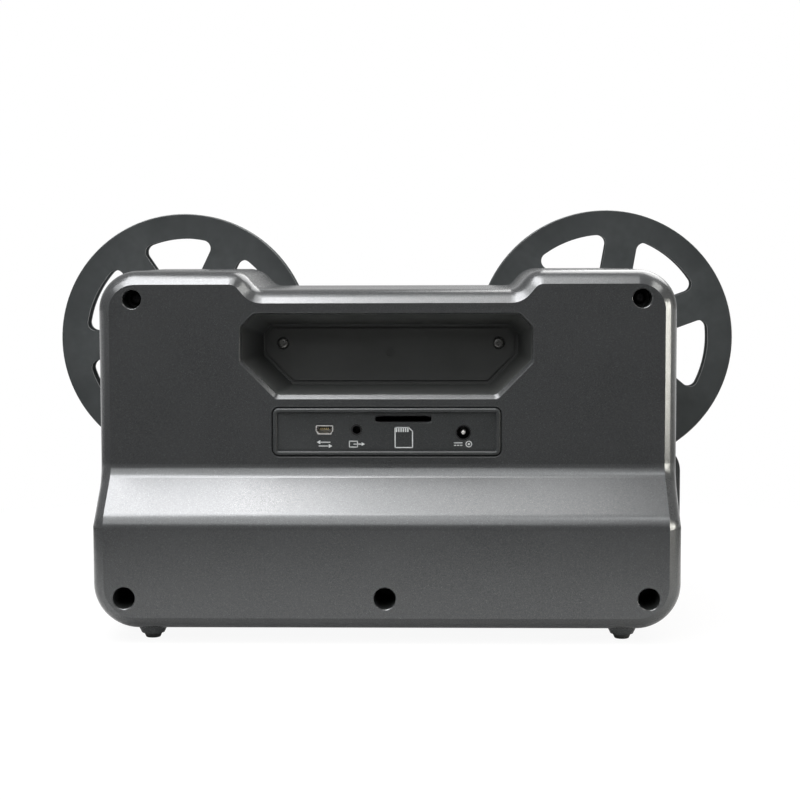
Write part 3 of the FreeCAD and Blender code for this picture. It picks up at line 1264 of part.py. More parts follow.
def main():
    """Build every node and write it to its own file."""
    os.makedirs("parts", exist_ok=True)
    nodes = {
        "rear_shell": rear_shell(),
        "front_shell": front_shell(),
        "front_base": front_base(),
        "recess_cup": recess_cup(),
        "recess_screws": recess_screws(),
        "case_screws": case_screws(),
        "rubber_feet": rubber_feet(),
        "socket_panel": socket_panel(),
        "data_port": data_port(),
        "av_jack": av_jack(),
        "card_socket": card_socket(),
        "dc_jack": dc_jack(),
        "main_board": main_board(),
        "board_screws": board_screws(),
        "control_panel": control_panel(),
        "screen_glass": screen_glass(),
        "display_module": display_module(),
        "keypad_board": keypad_board(),
        "size_slider": size_slider(),
        "spindle_bushes": spindle_bushes(),
        "motor_brackets": motor_brackets(),
        "bracket_screws": bracket_screws(),
        "roller_posts": roller_posts(),
        "gate_plate": gate_plate(),
        "hinge_pin": hinge_pin(),
        "gate_door": gate_door(),
        "pressure_plate": pressure_plate(),
        "diffuser": diffuser(),
        "light_board": light_board(),
        "transport_frame": transport_frame(),
        "transport_motor": transport_motor(),
        "transport_pinion": transport_pinion(),
        "cam_gear": cam_gear(),
        "claw_lever": claw_lever(),
        "fold_mirror": fold_mirror(),
        "lens_barrel": lens_barrel(),
        "lens_elements": lens_elements(),
        "camera_bracket": camera_bracket(),
        "sensor_board": sensor_board(),
    }
    for number, x in enumerate(BUTTON_XS, 1):
        nodes[f"button_{number}"] = button(x)
    for number, x in enumerate(roller_xs(), 1):
        nodes[f"guide_roller_{number}"] = guide_roller(x)
    for name, side in (("supply", -1), ("take_up", 1)):
        x = side * REEL_X
        nodes[name + "_spindle"] = spindle(x)
        nodes[name + "_gear"] = reel_gear(x)
        nodes[name + "_pinion"] = reel_pinion(x)
        nodes[name + "_motor"] = reel_motor(x)
        nodes[name + "_reel_back"] = reel_back(x, side)
        nodes[name + "_reel_front"] = reel_front(x, side)
    for name, shape in nodes.items():
        volume = shape.Volume / 1000
        print(f"{name:20} valid {shape.isValid()} solids {len(shape.Solids)} volume {volume:.3f} cm3")
        shape.translated(Vec(0, 0, -FOOT_SOLE)).exportStep(os.path.join("parts", name + ".step"))
    print(len(nodes), "nodes")


if __name__ == "__main__":
    main()
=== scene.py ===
"""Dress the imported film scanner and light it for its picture.

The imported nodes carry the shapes, joints and sizes. Each sub-assembly below gives its nodes their
finish and adds the thin things that stand on them, such as printed signs and contacts. Its sizes
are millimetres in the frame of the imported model: +X is to the left seen from behind, the sockets
face +Y, the reels face -Y, and the floor is at z = 0.
"""
import logging
import math
from dataclasses import dataclass
from enum import Enum

import bmesh
import bpy
from mathutils import Matrix, Vector


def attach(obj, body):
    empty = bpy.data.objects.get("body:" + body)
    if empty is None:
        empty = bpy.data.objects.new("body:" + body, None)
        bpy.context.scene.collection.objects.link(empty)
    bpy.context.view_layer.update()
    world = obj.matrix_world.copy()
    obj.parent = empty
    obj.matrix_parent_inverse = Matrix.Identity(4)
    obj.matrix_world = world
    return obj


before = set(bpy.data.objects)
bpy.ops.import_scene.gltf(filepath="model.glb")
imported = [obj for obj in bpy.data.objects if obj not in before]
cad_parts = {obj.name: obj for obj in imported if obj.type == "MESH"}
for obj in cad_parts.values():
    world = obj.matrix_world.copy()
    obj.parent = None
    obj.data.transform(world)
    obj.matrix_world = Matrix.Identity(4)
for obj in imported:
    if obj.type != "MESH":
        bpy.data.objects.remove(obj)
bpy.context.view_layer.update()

# Lengths: one millimetre in metres, and how deep a print starts under its surface in millimetres
MM = 0.001
SINK = 0.01
# Corners of printed rings, discs and arrow heads
RING_STEPS = 24
DISC_CORNERS = 12
ARROW_CORNERS = 3
# Sockets of Blender's range and mix nodes
RANGE_INPUTS = ("From Min", "From Max", "To Min", "To Max")
MIX_COLOURS = (6, 7)
MIX_RESULT = 2
# Ranges: all of it, the middle of a noise pattern, and the pointiness of an edge that wears
WHOLE = (0.0, 1.0)
NOISE_BAND = (0.3, 0.7)
EDGE_BAND = (0.52, 0.6)

Colour = tuple[float, float, float]
Point = tuple[float, float, float]
Flat = tuple[float, float]
Hole = tuple[float, float, float]
Sock = bpy.types.NodeSocket
log = logging.getLogger("scanner")


def scaled(colour: Colour, factor: float, lift: float = 0.0) -> Colour:
    """Make a colour brighter or darker.

    Args:
        colour: Colour to change.
        factor: Factor for each part.
        lift: Amount added to each part.

    Returns:
        The new colour.
    """
    return tuple(min(1.0, part * factor + lift) for part in colour)


class Graph:
    """Node tree of one material, filled through short calls."""

    def __init__(self, name: str) -> None:
        """Start a material whose Principled shader reads patterns in object coordinates.

        Args:
            name: Name of the material.
        """
        self.material = bpy.data.materials.new(name)
        self.material.use_nodes = True
        self.tree = self.material.node_tree
        self.shader = self.tree.nodes["Principled BSDF"]
        self.place = self.add("ShaderNodeTexCoord").outputs["Object"]

    def add(self, kind: str, **settings: object) -> bpy.types.Node:
        """Add a node and set its properties.

        Args:
            kind: Blender's type name of the node.
            **settings: Properties of the node.

        Returns:
            The new node.
        """
        node = self.tree.nodes.new(kind)
        for key, value in settings.items():
            setattr(node, key, value)
        return node

    def join(self, source: object, target: Sock) -> None:
        """Link a socket, or set a number or a colour, on a target socket.

        Args:
            source: Output socket, number or colour.
            target: Input socket that gets it.
        """
        if isinstance(source, Sock):
            self.tree.links.new(source, target)
        elif isinstance(source, tuple):
            target.default_value = (*source, 1.0)
        else:
            target.default_value = source

    def noise(self, size: float, detail: float = 2.0, stretch: Point = (1.0, 1.0, 1.0)) -> Sock:
        """Cloudy pattern.

        Args:
            size: Size of one patch in millimetres.
            detail: Octaves of finer noise.
            stretch: How much closer the patches are along each axis.

        Returns:
            Value between 0 and 1.
        """
        node = self.add("ShaderNodeTexNoise")
        node.inputs["Scale"].default_value = 1.0 / (size * MM)
        node.inputs["Detail"].default_value = detail
        self.join(self.stretched(stretch), node.inputs["Vector"])
        return node.outputs["Fac"]

    def cells(self, size: float) -> Sock:
        """Pattern of small cells, each with its own value between 0 and 1.

        Args:
            size: Size of one cell in millimetres.

        Returns:
            Value of the cell.
        """
        node = self.add("ShaderNodeTexVoronoi")
        node.inputs["Scale"].default_value = 1.0 / (size * MM)
        self.join(self.place, node.inputs["Vector"])
        parts = self.add("ShaderNodeSeparateColor")
        self.join(node.outputs["Color"], parts.inputs["Color"])
        return parts.outputs["Red"]

    def stretched(self, stretch: Point) -> Sock:
        """Object coordinates, scaled along each axis.

        Args:
            stretch: Factor for each axis.

        Returns:
            Vector socket.
        """
        if stretch == (1.0, 1.0, 1.0):
            return self.place
        node = self.add("ShaderNodeMapping")
        node.inputs["Scale"].default_value = stretch
        self.join(self.place, node.inputs["Vector"])
        return node.outputs["Vector"]

    def axis(self, name: str) -> Sock:
        """One of the object coordinates in metres.

        Args:
            name: "X", "Y" or "Z".

        Returns:
            Value socket.
        """
        node = self.add("ShaderNodeSeparateXYZ")
        self.join(self.place, node.inputs["Vector"])
        return node.outputs[name]

    def maths(self, operation: str, first: object, second: object = 0.0) -> Sock:
        """Result of a sum on sockets or numbers.

        Args:
            operation: Blender's name of the sum.
            first: First value.
            second: Second value.

        Returns:
            Value socket.
        """
        node = self.add("ShaderNodeMath", operation=operation)
        self.join(first, node.inputs[0])
        self.join(second, node.inputs[1])
        return node.outputs[0]

    def remap(self, value: Sock, source: Flat, target: Flat) -> Sock:
        """Map a value from one range to another, held inside it.

        Args:
            value: Value to map.
            source: Range it comes from.
            target: Range it goes to.

        Returns:
            Value socket.
        """
        node = self.add("ShaderNodeMapRange", clamp=True)
        for name, number in zip(RANGE_INPUTS, (*source, *target)):
            node.inputs[name].default_value = number
        self.join(value, node.inputs["Value"])
        return node.outputs["Result"]

    def mix(self, factor: Sock, low: object, high: object) -> Sock:
        """Blend two colours.

        Args:
            factor: 0 for the first colour, 1 for the second.
            low: First colour or colour socket.
            high: Second colour or colour socket.

        Returns:
            Colour socket.
        """
        node = self.add("ShaderNodeMix", data_type="RGBA")
        self.join(factor, node.inputs["Factor"])
        for source, index in zip((low, high), MIX_COLOURS):
            self.join(source, node.inputs[index])
        return node.outputs[MIX_RESULT]

    def toned(self, pattern: Sock, colour: Colour, tones: Flat) -> Sock:
        """Make a colour darker and brighter with a pattern.

        Args:
            pattern: Value between 0 and 1.
            colour: Colour to change.
            tones: Factors of the colour at 0 and at 1.

        Returns:
            Colour socket.
        """
        return self.mix(pattern, scaled(colour, tones[0]), scaled(colour, tones[1]))

    def bump(self, height: Sock, depth: float, under: object = None) -> Sock:
        """Raise the surface by a pattern.

        Args:
            height: Pattern between 0 and 1.
            depth: Height of the pattern in millimetres.
            under: Normal of a bump below this one.

        Returns:
            Normal socket.
        """
        node = self.add("ShaderNodeBump")
        node.inputs["Distance"].default_value = depth * MM
        self.join(height, node.inputs["Height"])
        if under is not None:
            self.join(under, node.inputs["Normal"])
        return node.outputs["Normal"]

    def edges(self) -> Sock:
        """Mask of the outward edges, where hands rub the surface.

        Returns:
            Value between 0 and 1.
        """
        point = self.add("ShaderNodeNewGeometry").outputs["Pointiness"]
        return self.remap(point, EDGE_BAND, WHOLE)

    def near_axis(self, middle: Flat, radius: float, mirrored: bool = False) -> Sock:
        """Mask of what lies close to an axis along Y.

        Args:
            middle: Place (x, z) of the axis in millimetres.
            radius: How far from the axis the mask reaches, in millimetres.
            mirrored: Whether there is a second axis at -x.

        Returns:
            1 near the axis and 0 elsewhere.
        """
        across = self.axis("X")
        if mirrored:
            across = self.maths("ABSOLUTE", across)
        aside = self.maths("SUBTRACT", across, middle[0] * MM)
        above = self.maths("SUBTRACT", self.axis("Z"), middle[1] * MM)
        squares = [self.maths("MULTIPLY", offset, offset) for offset in (aside, above)]
        return self.maths("LESS_THAN", self.maths("ADD", *squares), (radius * MM) ** 2)

    def inside(self, low: Flat, high: Flat) -> Sock:
        """Mask of what lies inside an upright rectangle, at any depth.

        Args:
            low: Lowest corner (x, z) in millimetres.
            high: Highest corner (x, z) in millimetres.

        Returns:
            1 inside and 0 elsewhere.
        """
        masks = []
        for name, start, end in (("X", low[0], high[0]), ("Z", low[1], high[1])):
            offset = self.maths("SUBTRACT", self.axis(name), (start + end) / 2 * MM)
            reach = self.maths("ABSOLUTE", offset)
            masks.append(self.maths("LESS_THAN", reach, (end - start) / 2 * MM))
        return self.maths("MULTIPLY", masks[0], masks[1])

    def set(self, **values: object) -> None:
        """Join sockets or constants to the Principled shader, by input name with _ for a blank.

        Args:
            **values: Inputs of the shader.
        """
        for key, value in values.items():
            self.join(value, self.shader.inputs[key.replace("_", " ")])


@dataclass(frozen=True)
class Finish:
    """Look of a surface: its colour, gloss and grain.

    The sizes of grain, clouds and rubbed patches, and the grain's depth, are millimetres. Spread
    says how far the roughness wanders, and tones how far the colour does.
    """

    name: str
    colour: Colour
    roughness: float = 0.5
    metallic: float = 0.0
    grain: float = 0.5
    depth: float = 0.01
    spread: float = 0.06
    wear: float = 0.15
    tones: Flat = (0.9, 1.1)
    cloud: float = 18.0
    rub_patch: float = 4.0
    rub_tone: float = 1.9
    rub_lift: float = 0.02

    def material(self) -> bpy.types.Material:
        """Build the material once and keep it by name.

        Returns:
            The material of this finish.
        """
        known = bpy.data.materials.get(self.name)
        if known is not None:
            return known
        graph = Graph(self.name)
        self.fill(graph)
        return graph.material

    def fill(self, graph: Graph) -> None:
        """Moulded plastic: fine cast grain, faint clouds of gloss, and edges rubbed brighter.

        Args:
            graph: Node tree of the material.
        """
        clouds = graph.noise(self.cloud, detail=3.0)
        colour = self.rubbed(graph, graph.toned(clouds, self.colour, self.tones))
        grain = graph.noise(self.grain, detail=3.0)
        graph.set(Base_Color=colour, Roughness=self.uneven(graph, clouds), Metallic=self.metallic,
                  Normal=graph.bump(grain, self.depth))

    def rubbed(self, graph: Graph, colour: Sock) -> Sock:
        """Brighten the outward edges in patches, as hands do.

        Args:
            graph: Node tree of the material.
            colour: Colour of the whole surface.

        Returns:
            Colour socket.
        """
        worn = graph.maths("MULTIPLY", graph.edges(), graph.noise(self.rub_patch, detail=4.0))
        worn = graph.maths("MULTIPLY", worn, self.wear)
        return graph.mix(worn, colour, scaled(self.colour, self.rub_tone, self.rub_lift))

    def uneven(self, graph: Graph, pattern: Sock) -> Sock:
        """Roughness that wanders a little with a pattern.

        Args:
            graph: Node tree of the material.
            pattern: Pattern between 0 and 1.

        Returns:
            Value socket.
        """
        limits = self.roughness - self.spread, self.roughness + self.spread
        return graph.remap(pattern, NOISE_BAND, limits)


@dataclass(frozen=True)
class FlakePaint(Finish):
    """Charcoal lacquer with fine metal flakes over a cast grain.

    Each hole gives x, z and radius, and its wall is darkened: bare plastic, with the shade of the
    deep hole painted into its colour; the paired ones are also at -x.
    """

    tones: Flat = (0.72, 1.3)
    cloud: float = 26.0
    cloud_band: Flat = (0.35, 0.7)
    cloud_most: float = 0.35
    cloud_tone: float = 1.12
    rub_patch: float = 5.0
    rub_tone: float = 1.8
    flake: float = 0.2
    glitter: float = 0.22
    glitter_band: Flat = (0.965, 0.985)
    glitter_tone: float = 3.0
    glitter_lift: float = 0.06
    glitter_gloss: float = 0.12
    # Colour of the hole walls: bare plastic, made darker as painted shade of the deep holes
    bare: Colour = (0.034, 0.036, 0.036)
    bare_roughness: float = 0.55
    paired_holes: tuple[Hole, ...] = ()
    middle_holes: tuple[Hole, ...] = ()

    def fill(self, graph: Graph) -> None:
        """Lacquer whose flakes differ in brightness, tilt and gloss, and dark bare plastic in the
        holes, with their shade painted into its colour.

        Args:
            graph: Node tree of the material.
        """
        flakes = graph.cells(self.flake)
        clouds = graph.noise(self.cloud, detail=3.0)
        cloudy = graph.remap(clouds, self.cloud_band, (0.0, self.cloud_most))
        spark = graph.remap(flakes, self.glitter_band, (0.0, self.glitter))
        colour = graph.toned(flakes, self.colour, self.tones)
        colour = graph.mix(cloudy, colour, scaled(self.colour, self.cloud_tone))
        sparkling = scaled(self.colour, self.glitter_tone, self.glitter_lift)
        colour = self.rubbed(graph, graph.mix(spark, colour, sparkling))
        glossier = graph.maths("MULTIPLY", spark, self.glitter_gloss)
        rough = graph.maths("SUBTRACT", self.uneven(graph, clouds), glossier)
        metallic = self.metallic
        # In the holes the lacquer gives way to the dark wall colour, which is bare plastic and
        # painted shade
        masks = [graph.near_axis((x, z), radius, True) for x, z, radius in self.paired_holes]
        masks += [graph.near_axis((x, z), radius) for x, z, radius in self.middle_holes]
        for mask in masks:
            colour = graph.mix(mask, colour, self.bare)
            dull = graph.maths("MULTIPLY", mask, self.bare_roughness)
            rough = graph.maths("MAXIMUM", rough, dull)
            painted = graph.maths("SUBTRACT", 1.0, mask)
            metallic = graph.maths("MULTIPLY", metallic, painted)
        fine = graph.bump(flakes, self.depth / 2)
        normal = graph.bump(graph.noise(self.grain), self.depth, fine)
        graph.set(Base_Color=colour, Roughness=rough, Metallic=metallic, Normal=normal)


class Lay(Enum):
    """Direction in which a metal surface was worked, as the stretch of its marks."""

    BLASTED = (1.0, 1.0, 1.0)
    ALONG_X = (0.03, 1.0, 1.0)
    ALONG_Z = (1.0, 1.0, 0.03)
    TURNED = (0.25, 3.0, 0.25)


@dataclass(frozen=True)
class Metal(Finish):
    """Bare or plated metal with the marks of how it was worked."""

    metallic: float = 1.0
    tones: Flat = (0.82, 1.08)
    cloud: float = 9.0
    lay: Lay = Lay.BLASTED

    def fill(self, graph: Graph) -> None:
        """Metal with marks along its lay and a faint uneven tarnish.

        Args:
            graph: Node tree of the material.
        """
        marks = graph.noise(self.grain, detail=4.0, stretch=self.lay.value)
        tarnish = graph.noise(self.cloud, detail=3.0)
        colour = graph.toned(tarnish, self.colour, self.tones)
        graph.set(Base_Color=colour, Roughness=self.uneven(graph, marks), Metallic=self.metallic,
                  Normal=graph.bump(marks, self.depth))


@dataclass(frozen=True)
class Glass(Finish):
    """Clear or tinted pane, with the faint smears that hands leave."""

    tones: Flat = (0.97, 1.0)
    cloud: float = 14.0
    smear_band: Flat = (0.45, 0.75)
    smear_lay: Point = (1.0, 1.0, 0.4)
    through: float = 1.0
    index: float = 1.49

    def fill(self, graph: Graph) -> None:
        """Clear body whose gloss is broken a little by smears.

        Args:
            graph: Node tree of the material.
        """
        smears = graph.noise(self.cloud, detail=5.0, stretch=self.smear_lay)
        limits = self.roughness, self.roughness + self.spread
        rough = graph.remap(smears, self.smear_band, limits)
        colour = graph.toned(smears, self.colour, self.tones)
        graph.set(Base_Color=colour, Roughness=rough, Transmission_Weight=self.through,
                  IOR=self.index)


@dataclass(frozen=True)
class Board(Finish):
    """Circuit board with copper runs under its mask, and parts of another colour on it.

    Level is the place of its face on the upright axis. What stands past it by more than the play,
    in the outward direction, is a part.
    """

    tones: Flat = (0.8, 1.2)
    cloud: float = 6.0
    run_tone: float = 1.9
    run_depth: float = 0.02
    run_band: Flat = (0.2, 0.8)
    run_reach: Flat = (0.0, 0.5)
    level: float = 0.0
    upright: str = "Z"
    outward: float = 1.0
    chip: Colour = (0.02, 0.02, 0.022)
    gloss_patch: float = 2.0
    run_scale: float = 160.0
    play: float = 0.08

    def fill(self, graph: Graph) -> None:
        """Mask and runs on the board, and the parts by how far they stand out from it.

        Args:
            graph: Node tree of the material.
        """
        runs = graph.add("ShaderNodeTexBrick")
        runs.inputs["Scale"].default_value = self.run_scale
        graph.join(graph.place, runs.inputs["Vector"])
        line = graph.remap(runs.outputs["Fac"], self.run_band, self.run_reach)
        mask = graph.toned(graph.noise(self.cloud), self.colour, self.tones)
        board = graph.mix(line, mask, scaled(self.colour, self.run_tone))
        height = graph.maths("MULTIPLY", graph.axis(self.upright), self.outward)
        surface = (self.outward * self.level + self.play) * MM
        part = graph.maths("GREATER_THAN", height, surface)
        colour = graph.mix(part, board, self.chip)
        graph.set(Base_Color=colour, Roughness=self.uneven(graph, graph.noise(self.gloss_patch)),
                  Normal=graph.bump(line, self.run_depth))


@dataclass(frozen=True)
class RoundJack(Finish):
    """Moulded jack whose middle, along Y, differs from its body: a bare pin or a dark bore."""

    tones: Flat = (0.85, 1.15)
    middle: Flat = (0.0, 0.0)
    radius: float = 1.3
    inner: Colour = (0.8, 0.79, 0.76)
    inner_roughness: float = 0.3

    def fill(self, graph: Graph) -> None:
        """Moulding everywhere, and the inner colour near the axis.

        Args:
            graph: Node tree of the material.
        """
        core = graph.near_axis(self.middle, self.radius)
        grain = graph.noise(self.grain)
        colour = graph.toned(grain, self.colour, self.tones)
        rough = graph.remap(core, WHOLE, (self.roughness, self.inner_roughness))
        graph.set(Base_Color=graph.mix(core, colour, self.inner), Roughness=rough,
                  Metallic=self.metallic, Normal=graph.bump(grain, self.depth))


@dataclass(frozen=True)
class SheetPort(Metal):
    """Sheet metal shell of a small port round its black contact tongue."""

    tones: Flat = (0.9, 1.05)
    cloud: float = 3.0
    low: Flat = (24.8, 91.2)
    high: Flat = (30.2, 92.2)
    tongue: Colour = (0.012, 0.012, 0.013)

    def fill(self, graph: Graph) -> None:
        """Tinned sheet with marks along X, and black moulding where the tongue is.

        Args:
            graph: Node tree of the material.
        """
        core = graph.inside(self.low, self.high)
        marks = graph.noise(self.grain, detail=4.0, stretch=self.lay.value)
        stain = graph.noise(self.cloud, detail=3.0)
        sheet = graph.toned(stain, self.colour, self.tones)
        metallic = graph.maths("MULTIPLY", self.metallic, graph.maths("SUBTRACT", 1.0, core))
        graph.set(Base_Color=graph.mix(core, sheet, self.tongue),
                  Roughness=self.uneven(graph, marks), Metallic=metallic,
                  Normal=graph.bump(marks, self.depth))


# Screw holes of the rear shell (x, z, radius), whose walls get painted shade, and colours that
# several finishes share
UPPER_HOLE: Hole = (112.3, 149.0, 4.25)
LOWER_HOLE: Hole = (113.8, 19.8, 4.8)
MIDDLE_HOLE: Hole = (0.3, 19.8, 4.8)
SHELL_COLOUR: Colour = (0.083, 0.086, 0.088)
SOCKET_BLACK: Colour = (0.013, 0.0135, 0.014)
BOARD_GREEN: Colour = (0.012, 0.09, 0.035)


class Finishes(Enum):
    """Every finish of the scanner."""

    REAR_SHELL = FlakePaint("rear_shell_lacquer", SHELL_COLOUR, 0.24, 0.5, grain=0.6, depth=0.003,
                            spread=0.015, wear=0.05, paired_holes=(UPPER_HOLE, LOWER_HOLE),
                            middle_holes=(MIDDLE_HOLE,))
    SHELL = FlakePaint("shell_lacquer", SHELL_COLOUR, 0.24, 0.5, grain=0.6, depth=0.003,
                       spread=0.015, wear=0.05)
    PANEL = FlakePaint("panel_lacquer", (0.052, 0.055, 0.056), 0.38, 0.45, grain=0.5, depth=0.004,
                       wear=0.1)
    RECESS = Finish("recess_plastic", (0.062, 0.065, 0.063), 0.42, grain=0.5, depth=0.02)
    RUBBER = Finish("foot_rubber", (0.03, 0.031, 0.031), 0.78, grain=0.9, depth=0.06, wear=0.4)
    REEL = Finish("reel_plastic", (0.034, 0.038, 0.039), 0.4, grain=0.8, wear=0.6)
    ROLLER = Finish("roller_plastic", (0.018, 0.018, 0.02), 0.3, grain=0.6, depth=0.006, wear=0.5)
    SPINDLE = Finish("spindle_plastic", (0.014, 0.0145, 0.016), 0.32, grain=0.6, wear=0.5)
    DOOR = Finish("door_plastic", (0.016, 0.0165, 0.018), 0.28, grain=0.5, depth=0.012, wear=0.4)
    GLOSS = Finish("gloss_panel", (0.01, 0.0102, 0.0115), 0.12, grain=3.0, depth=0.003, spread=0.03)
    KEY = Finish("key_plastic", (0.2, 0.203, 0.21), 0.33, grain=0.5, depth=0.006, wear=0.5)
    GEAR = Finish("gear_plastic", (0.72, 0.71, 0.66), 0.42, grain=0.7)
    DISPLAY = Finish("display_face", (0.016, 0.02, 0.026), 0.16, grain=0.25, depth=0.002)
    MILK = Finish("milky_plastic", (0.84, 0.85, 0.84), 0.4, grain=0.5)
    CARD_PLASTIC = Finish("card_socket_plastic", (0.03, 0.031, 0.032), 0.45, grain=0.5, depth=0.006)
    BLACK_METAL = Metal("black_steel", (0.07, 0.07, 0.073), 0.42, grain=0.5, depth=0.006)
    ZINC = Metal("dull_zinc", (0.26, 0.26, 0.25), 0.3, 0.85, grain=0.6, depth=0.012)
    STEEL = Metal("turned_steel", (0.56, 0.56, 0.57), 0.24, grain=0.3, depth=0.003, lay=Lay.TURNED)
    CAN = Metal("motor_can", (0.52, 0.52, 0.52), 0.34, grain=0.5, depth=0.004, lay=Lay.TURNED)
    SHEET = Metal("zinc_sheet", (0.48, 0.49, 0.5), 0.36, grain=0.5, depth=0.004, lay=Lay.ALONG_Z)
    BRASS = Metal("turned_brass", (0.66, 0.5, 0.22), 0.3, grain=0.3, depth=0.003, lay=Lay.TURNED)
    GOLD = Metal("gilt_contact", (0.85, 0.68, 0.36), 0.3, 0.5, grain=0.2, depth=0.001,
                 lay=Lay.ALONG_X)
    ALUMINIUM = Metal("blasted_aluminium", (0.5, 0.51, 0.52), 0.38, grain=0.35, depth=0.008)
    MIRROR = Metal("silvered_glass", (0.9, 0.9, 0.9), 0.04, grain=6.0, depth=0.0005, spread=0.01)
    PORT = SheetPort("port_sheet", (0.8, 0.79, 0.77), 0.35, 0.35, grain=0.5, depth=0.003,
                     lay=Lay.ALONG_X)
    PANE = Glass("tinted_pane", (0.5, 0.52, 0.55), 0.05, spread=0.08)
    LENS = Glass("lens_glass", (0.86, 0.9, 0.98), 0.02, spread=0.02)
    MAIN_BOARD = Board("main_board_mask", BOARD_GREEN, 0.4, level=84.7)
    KEY_BOARD = Board("key_board_mask", BOARD_GREEN, 0.4, level=-36.4, upright="Y", outward=-1.0)
    LAMP_BOARD = Board("lamp_board_mask", (0.6, 0.6, 0.58), 0.4, level=50.7, outward=-1.0,
                       chip=(0.75, 0.62, 0.2))
    SENSOR_BOARD = Board("sensor_board_mask", (0.012, 0.05, 0.09), 0.4, level=-12.0, upright="Y",
                         outward=-1.0)
    ROUND_JACK = RoundJack("round_jack_plastic", (0.016, 0.0165, 0.017), 0.34, grain=0.5,
                           depth=0.006, middle=(13.3, 91.1), radius=1.85, inner=SOCKET_BLACK,
                           inner_roughness=0.4)
    POWER_JACK = RoundJack("power_jack_plastic", SOCKET_BLACK, 0.4, 0.2, grain=0.5, depth=0.006,
                           middle=(-33.9, 89.9), radius=1.3, inner=(0.7, 0.69, 0.66))
    PRINT = Finish("pale_print", (0.6, 0.62, 0.62), 0.5, grain=0.3, depth=0.002, wear=0.0)


class Shape:
    """Mesh under construction, in millimetres."""

    def __init__(self) -> None:
        """Start an empty mesh."""
        self.mesh = bmesh.new()

    def block(self, low: Point, high: Point) -> list[bmesh.types.BMVert]:
        """Add a rectangular block.

        Args:
            low: Lowest corner.
            high: Highest corner.

        Returns:
            Its vertices.
        """
        verts = bmesh.ops.create_cube(self.mesh, size=1.0)["verts"]
        size = [top - bottom for bottom, top in zip(low, high)]
        middle = [(top + bottom) / 2 for bottom, top in zip(low, high)]
        bmesh.ops.scale(self.mesh, vec=size, verts=verts)
        bmesh.ops.translate(self.mesh, vec=middle, verts=verts)
        return verts

    def stroke(self, start: Flat, end: Flat, width: float, y0: float, y1: float) -> None:
        """Add a straight printed line across Y, with its ends past the points by half its width.

        Args:
            start: First point (x, z).
            end: Last point (x, z).
            width: Width of the line.
            y0: Depth where it starts.
            y1: Depth where it ends.
        """
        run = Vector((end[0] - start[0], end[1] - start[1]))
        verts = self.block((0.0, y0, -width / 2), (run.length + width, y1, width / 2))
        bmesh.ops.translate(self.mesh, vec=(-width / 2, 0.0, 0.0), verts=verts)
        turn = Matrix.Rotation(-math.atan2(run.y, run.x), 3, "Y")
        bmesh.ops.rotate(self.mesh, cent=(0.0, 0.0, 0.0), matrix=turn, verts=verts)
        bmesh.ops.translate(self.mesh, vec=(start[0], 0.0, start[1]), verts=verts)

    def outline(self, points: list[Flat], width: float, y0: float, y1: float) -> None:
        """Add a printed line through several points and back to the first.

        Args:
            points: Points (x, z) of the line.
            width: Width of the line.
            y0: Depth where it starts.
            y1: Depth where it ends.
        """
        for start, end in zip(points, points[1:] + points[:1]):
            self.stroke(start, end, width, y0, y1)

    def rectangle(self, corner: Flat, opposite: Flat, width: float, y0: float, y1: float) -> None:
        """Add a printed upright rectangle.

        Args:
            corner: One corner (x, z).
            opposite: Corner across from it.
            width: Width of the line.
            y0: Depth where it starts.
            y1: Depth where it ends.
        """
        corners = [corner, (opposite[0], corner[1]), opposite, (corner[0], opposite[1])]
        self.outline(corners, width, y0, y1)

    def ring(self, centre: Flat, radius: float, width: float, y0: float, y1: float) -> None:
        """Add a printed ring round an axis along Y.

        Args:
            centre: Middle (x, z).
            radius: Outer radius.
            width: Width of the line.
            y0: Depth where it starts.
            y1: Depth where it ends.
        """
        corners = ((radius - width, y0), (radius, y0), (radius, y1), (radius - width, y1))
        verts = [self.mesh.verts.new((centre[0] + r, y, centre[1])) for r, y in corners]
        edges = [self.mesh.edges.new((verts[i - 1], verts[i])) for i in range(len(verts))]
        bmesh.ops.spin(self.mesh, geom=verts + edges, cent=(centre[0], 0.0, centre[1]),
                       axis=(0.0, 1.0, 0.0), angle=math.tau, steps=RING_STEPS, use_merge=True)

    def plate(self, centre: Flat, radius: float, corners: int, y0: float, y1: float,
              turn: float = 0.0) -> None:
        """Add a flat printed disc or regular plate across Y.

        Args:
            centre: Middle (x, z).
            radius: Distance of the corners from the middle.
            corners: Number of corners, 3 for an arrow head.
            y0: Depth where it starts.
            y1: Depth where it ends.
            turn: Angle of the first corner from +X, in degrees.
        """
        verts = bmesh.ops.create_circle(self.mesh, cap_ends=True, segments=corners,
                                        radius=radius)["verts"]
        grown = bmesh.ops.extrude_face_region(self.mesh, geom=[verts[0].link_faces[0]])["geom"]
        top = [item for item in grown if isinstance(item, bmesh.types.BMVert)]
        bmesh.ops.translate(self.mesh, vec=(0.0, 0.0, y1 - y0), verts=top)
        verts = verts + top
        for angle, axis in ((turn - 90.0, "Z"), (90.0, "X")):
            matrix = Matrix.Rotation(math.radians(angle), 3, axis)
            bmesh.ops.rotate(self.mesh, cent=(0.0, 0.0, 0.0), matrix=matrix, verts=verts)
        bmesh.ops.translate(self.mesh, vec=(centre[0], y1, centre[1]), verts=verts)

    def piece(self, name: str, body: str, finish: Finishes, slot: str) -> None:
        """Turn the mesh into a finished piece that rides on a body.

        Args:
            name: Name of the piece.
            body: Body that it moves with.
            finish: Its finish.
            slot: Name of a material slot; not used.
        """
        bmesh.ops.scale(self.mesh, vec=(MM, MM, MM), verts=self.mesh.verts)
        bmesh.ops.recalc_face_normals(self.mesh, faces=self.mesh.faces)
        data = bpy.data.meshes.new(name)
        self.mesh.to_mesh(data)
        self.mesh.free()
        data.materials.append(finish.value.material())
        piece = bpy.data.objects.new(name, data)
        bpy.context.scene.collection.objects.link(piece)
        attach(piece, body)
        log.info("piece %s has %d faces and rides on %s", name, len(data.polygons), body)


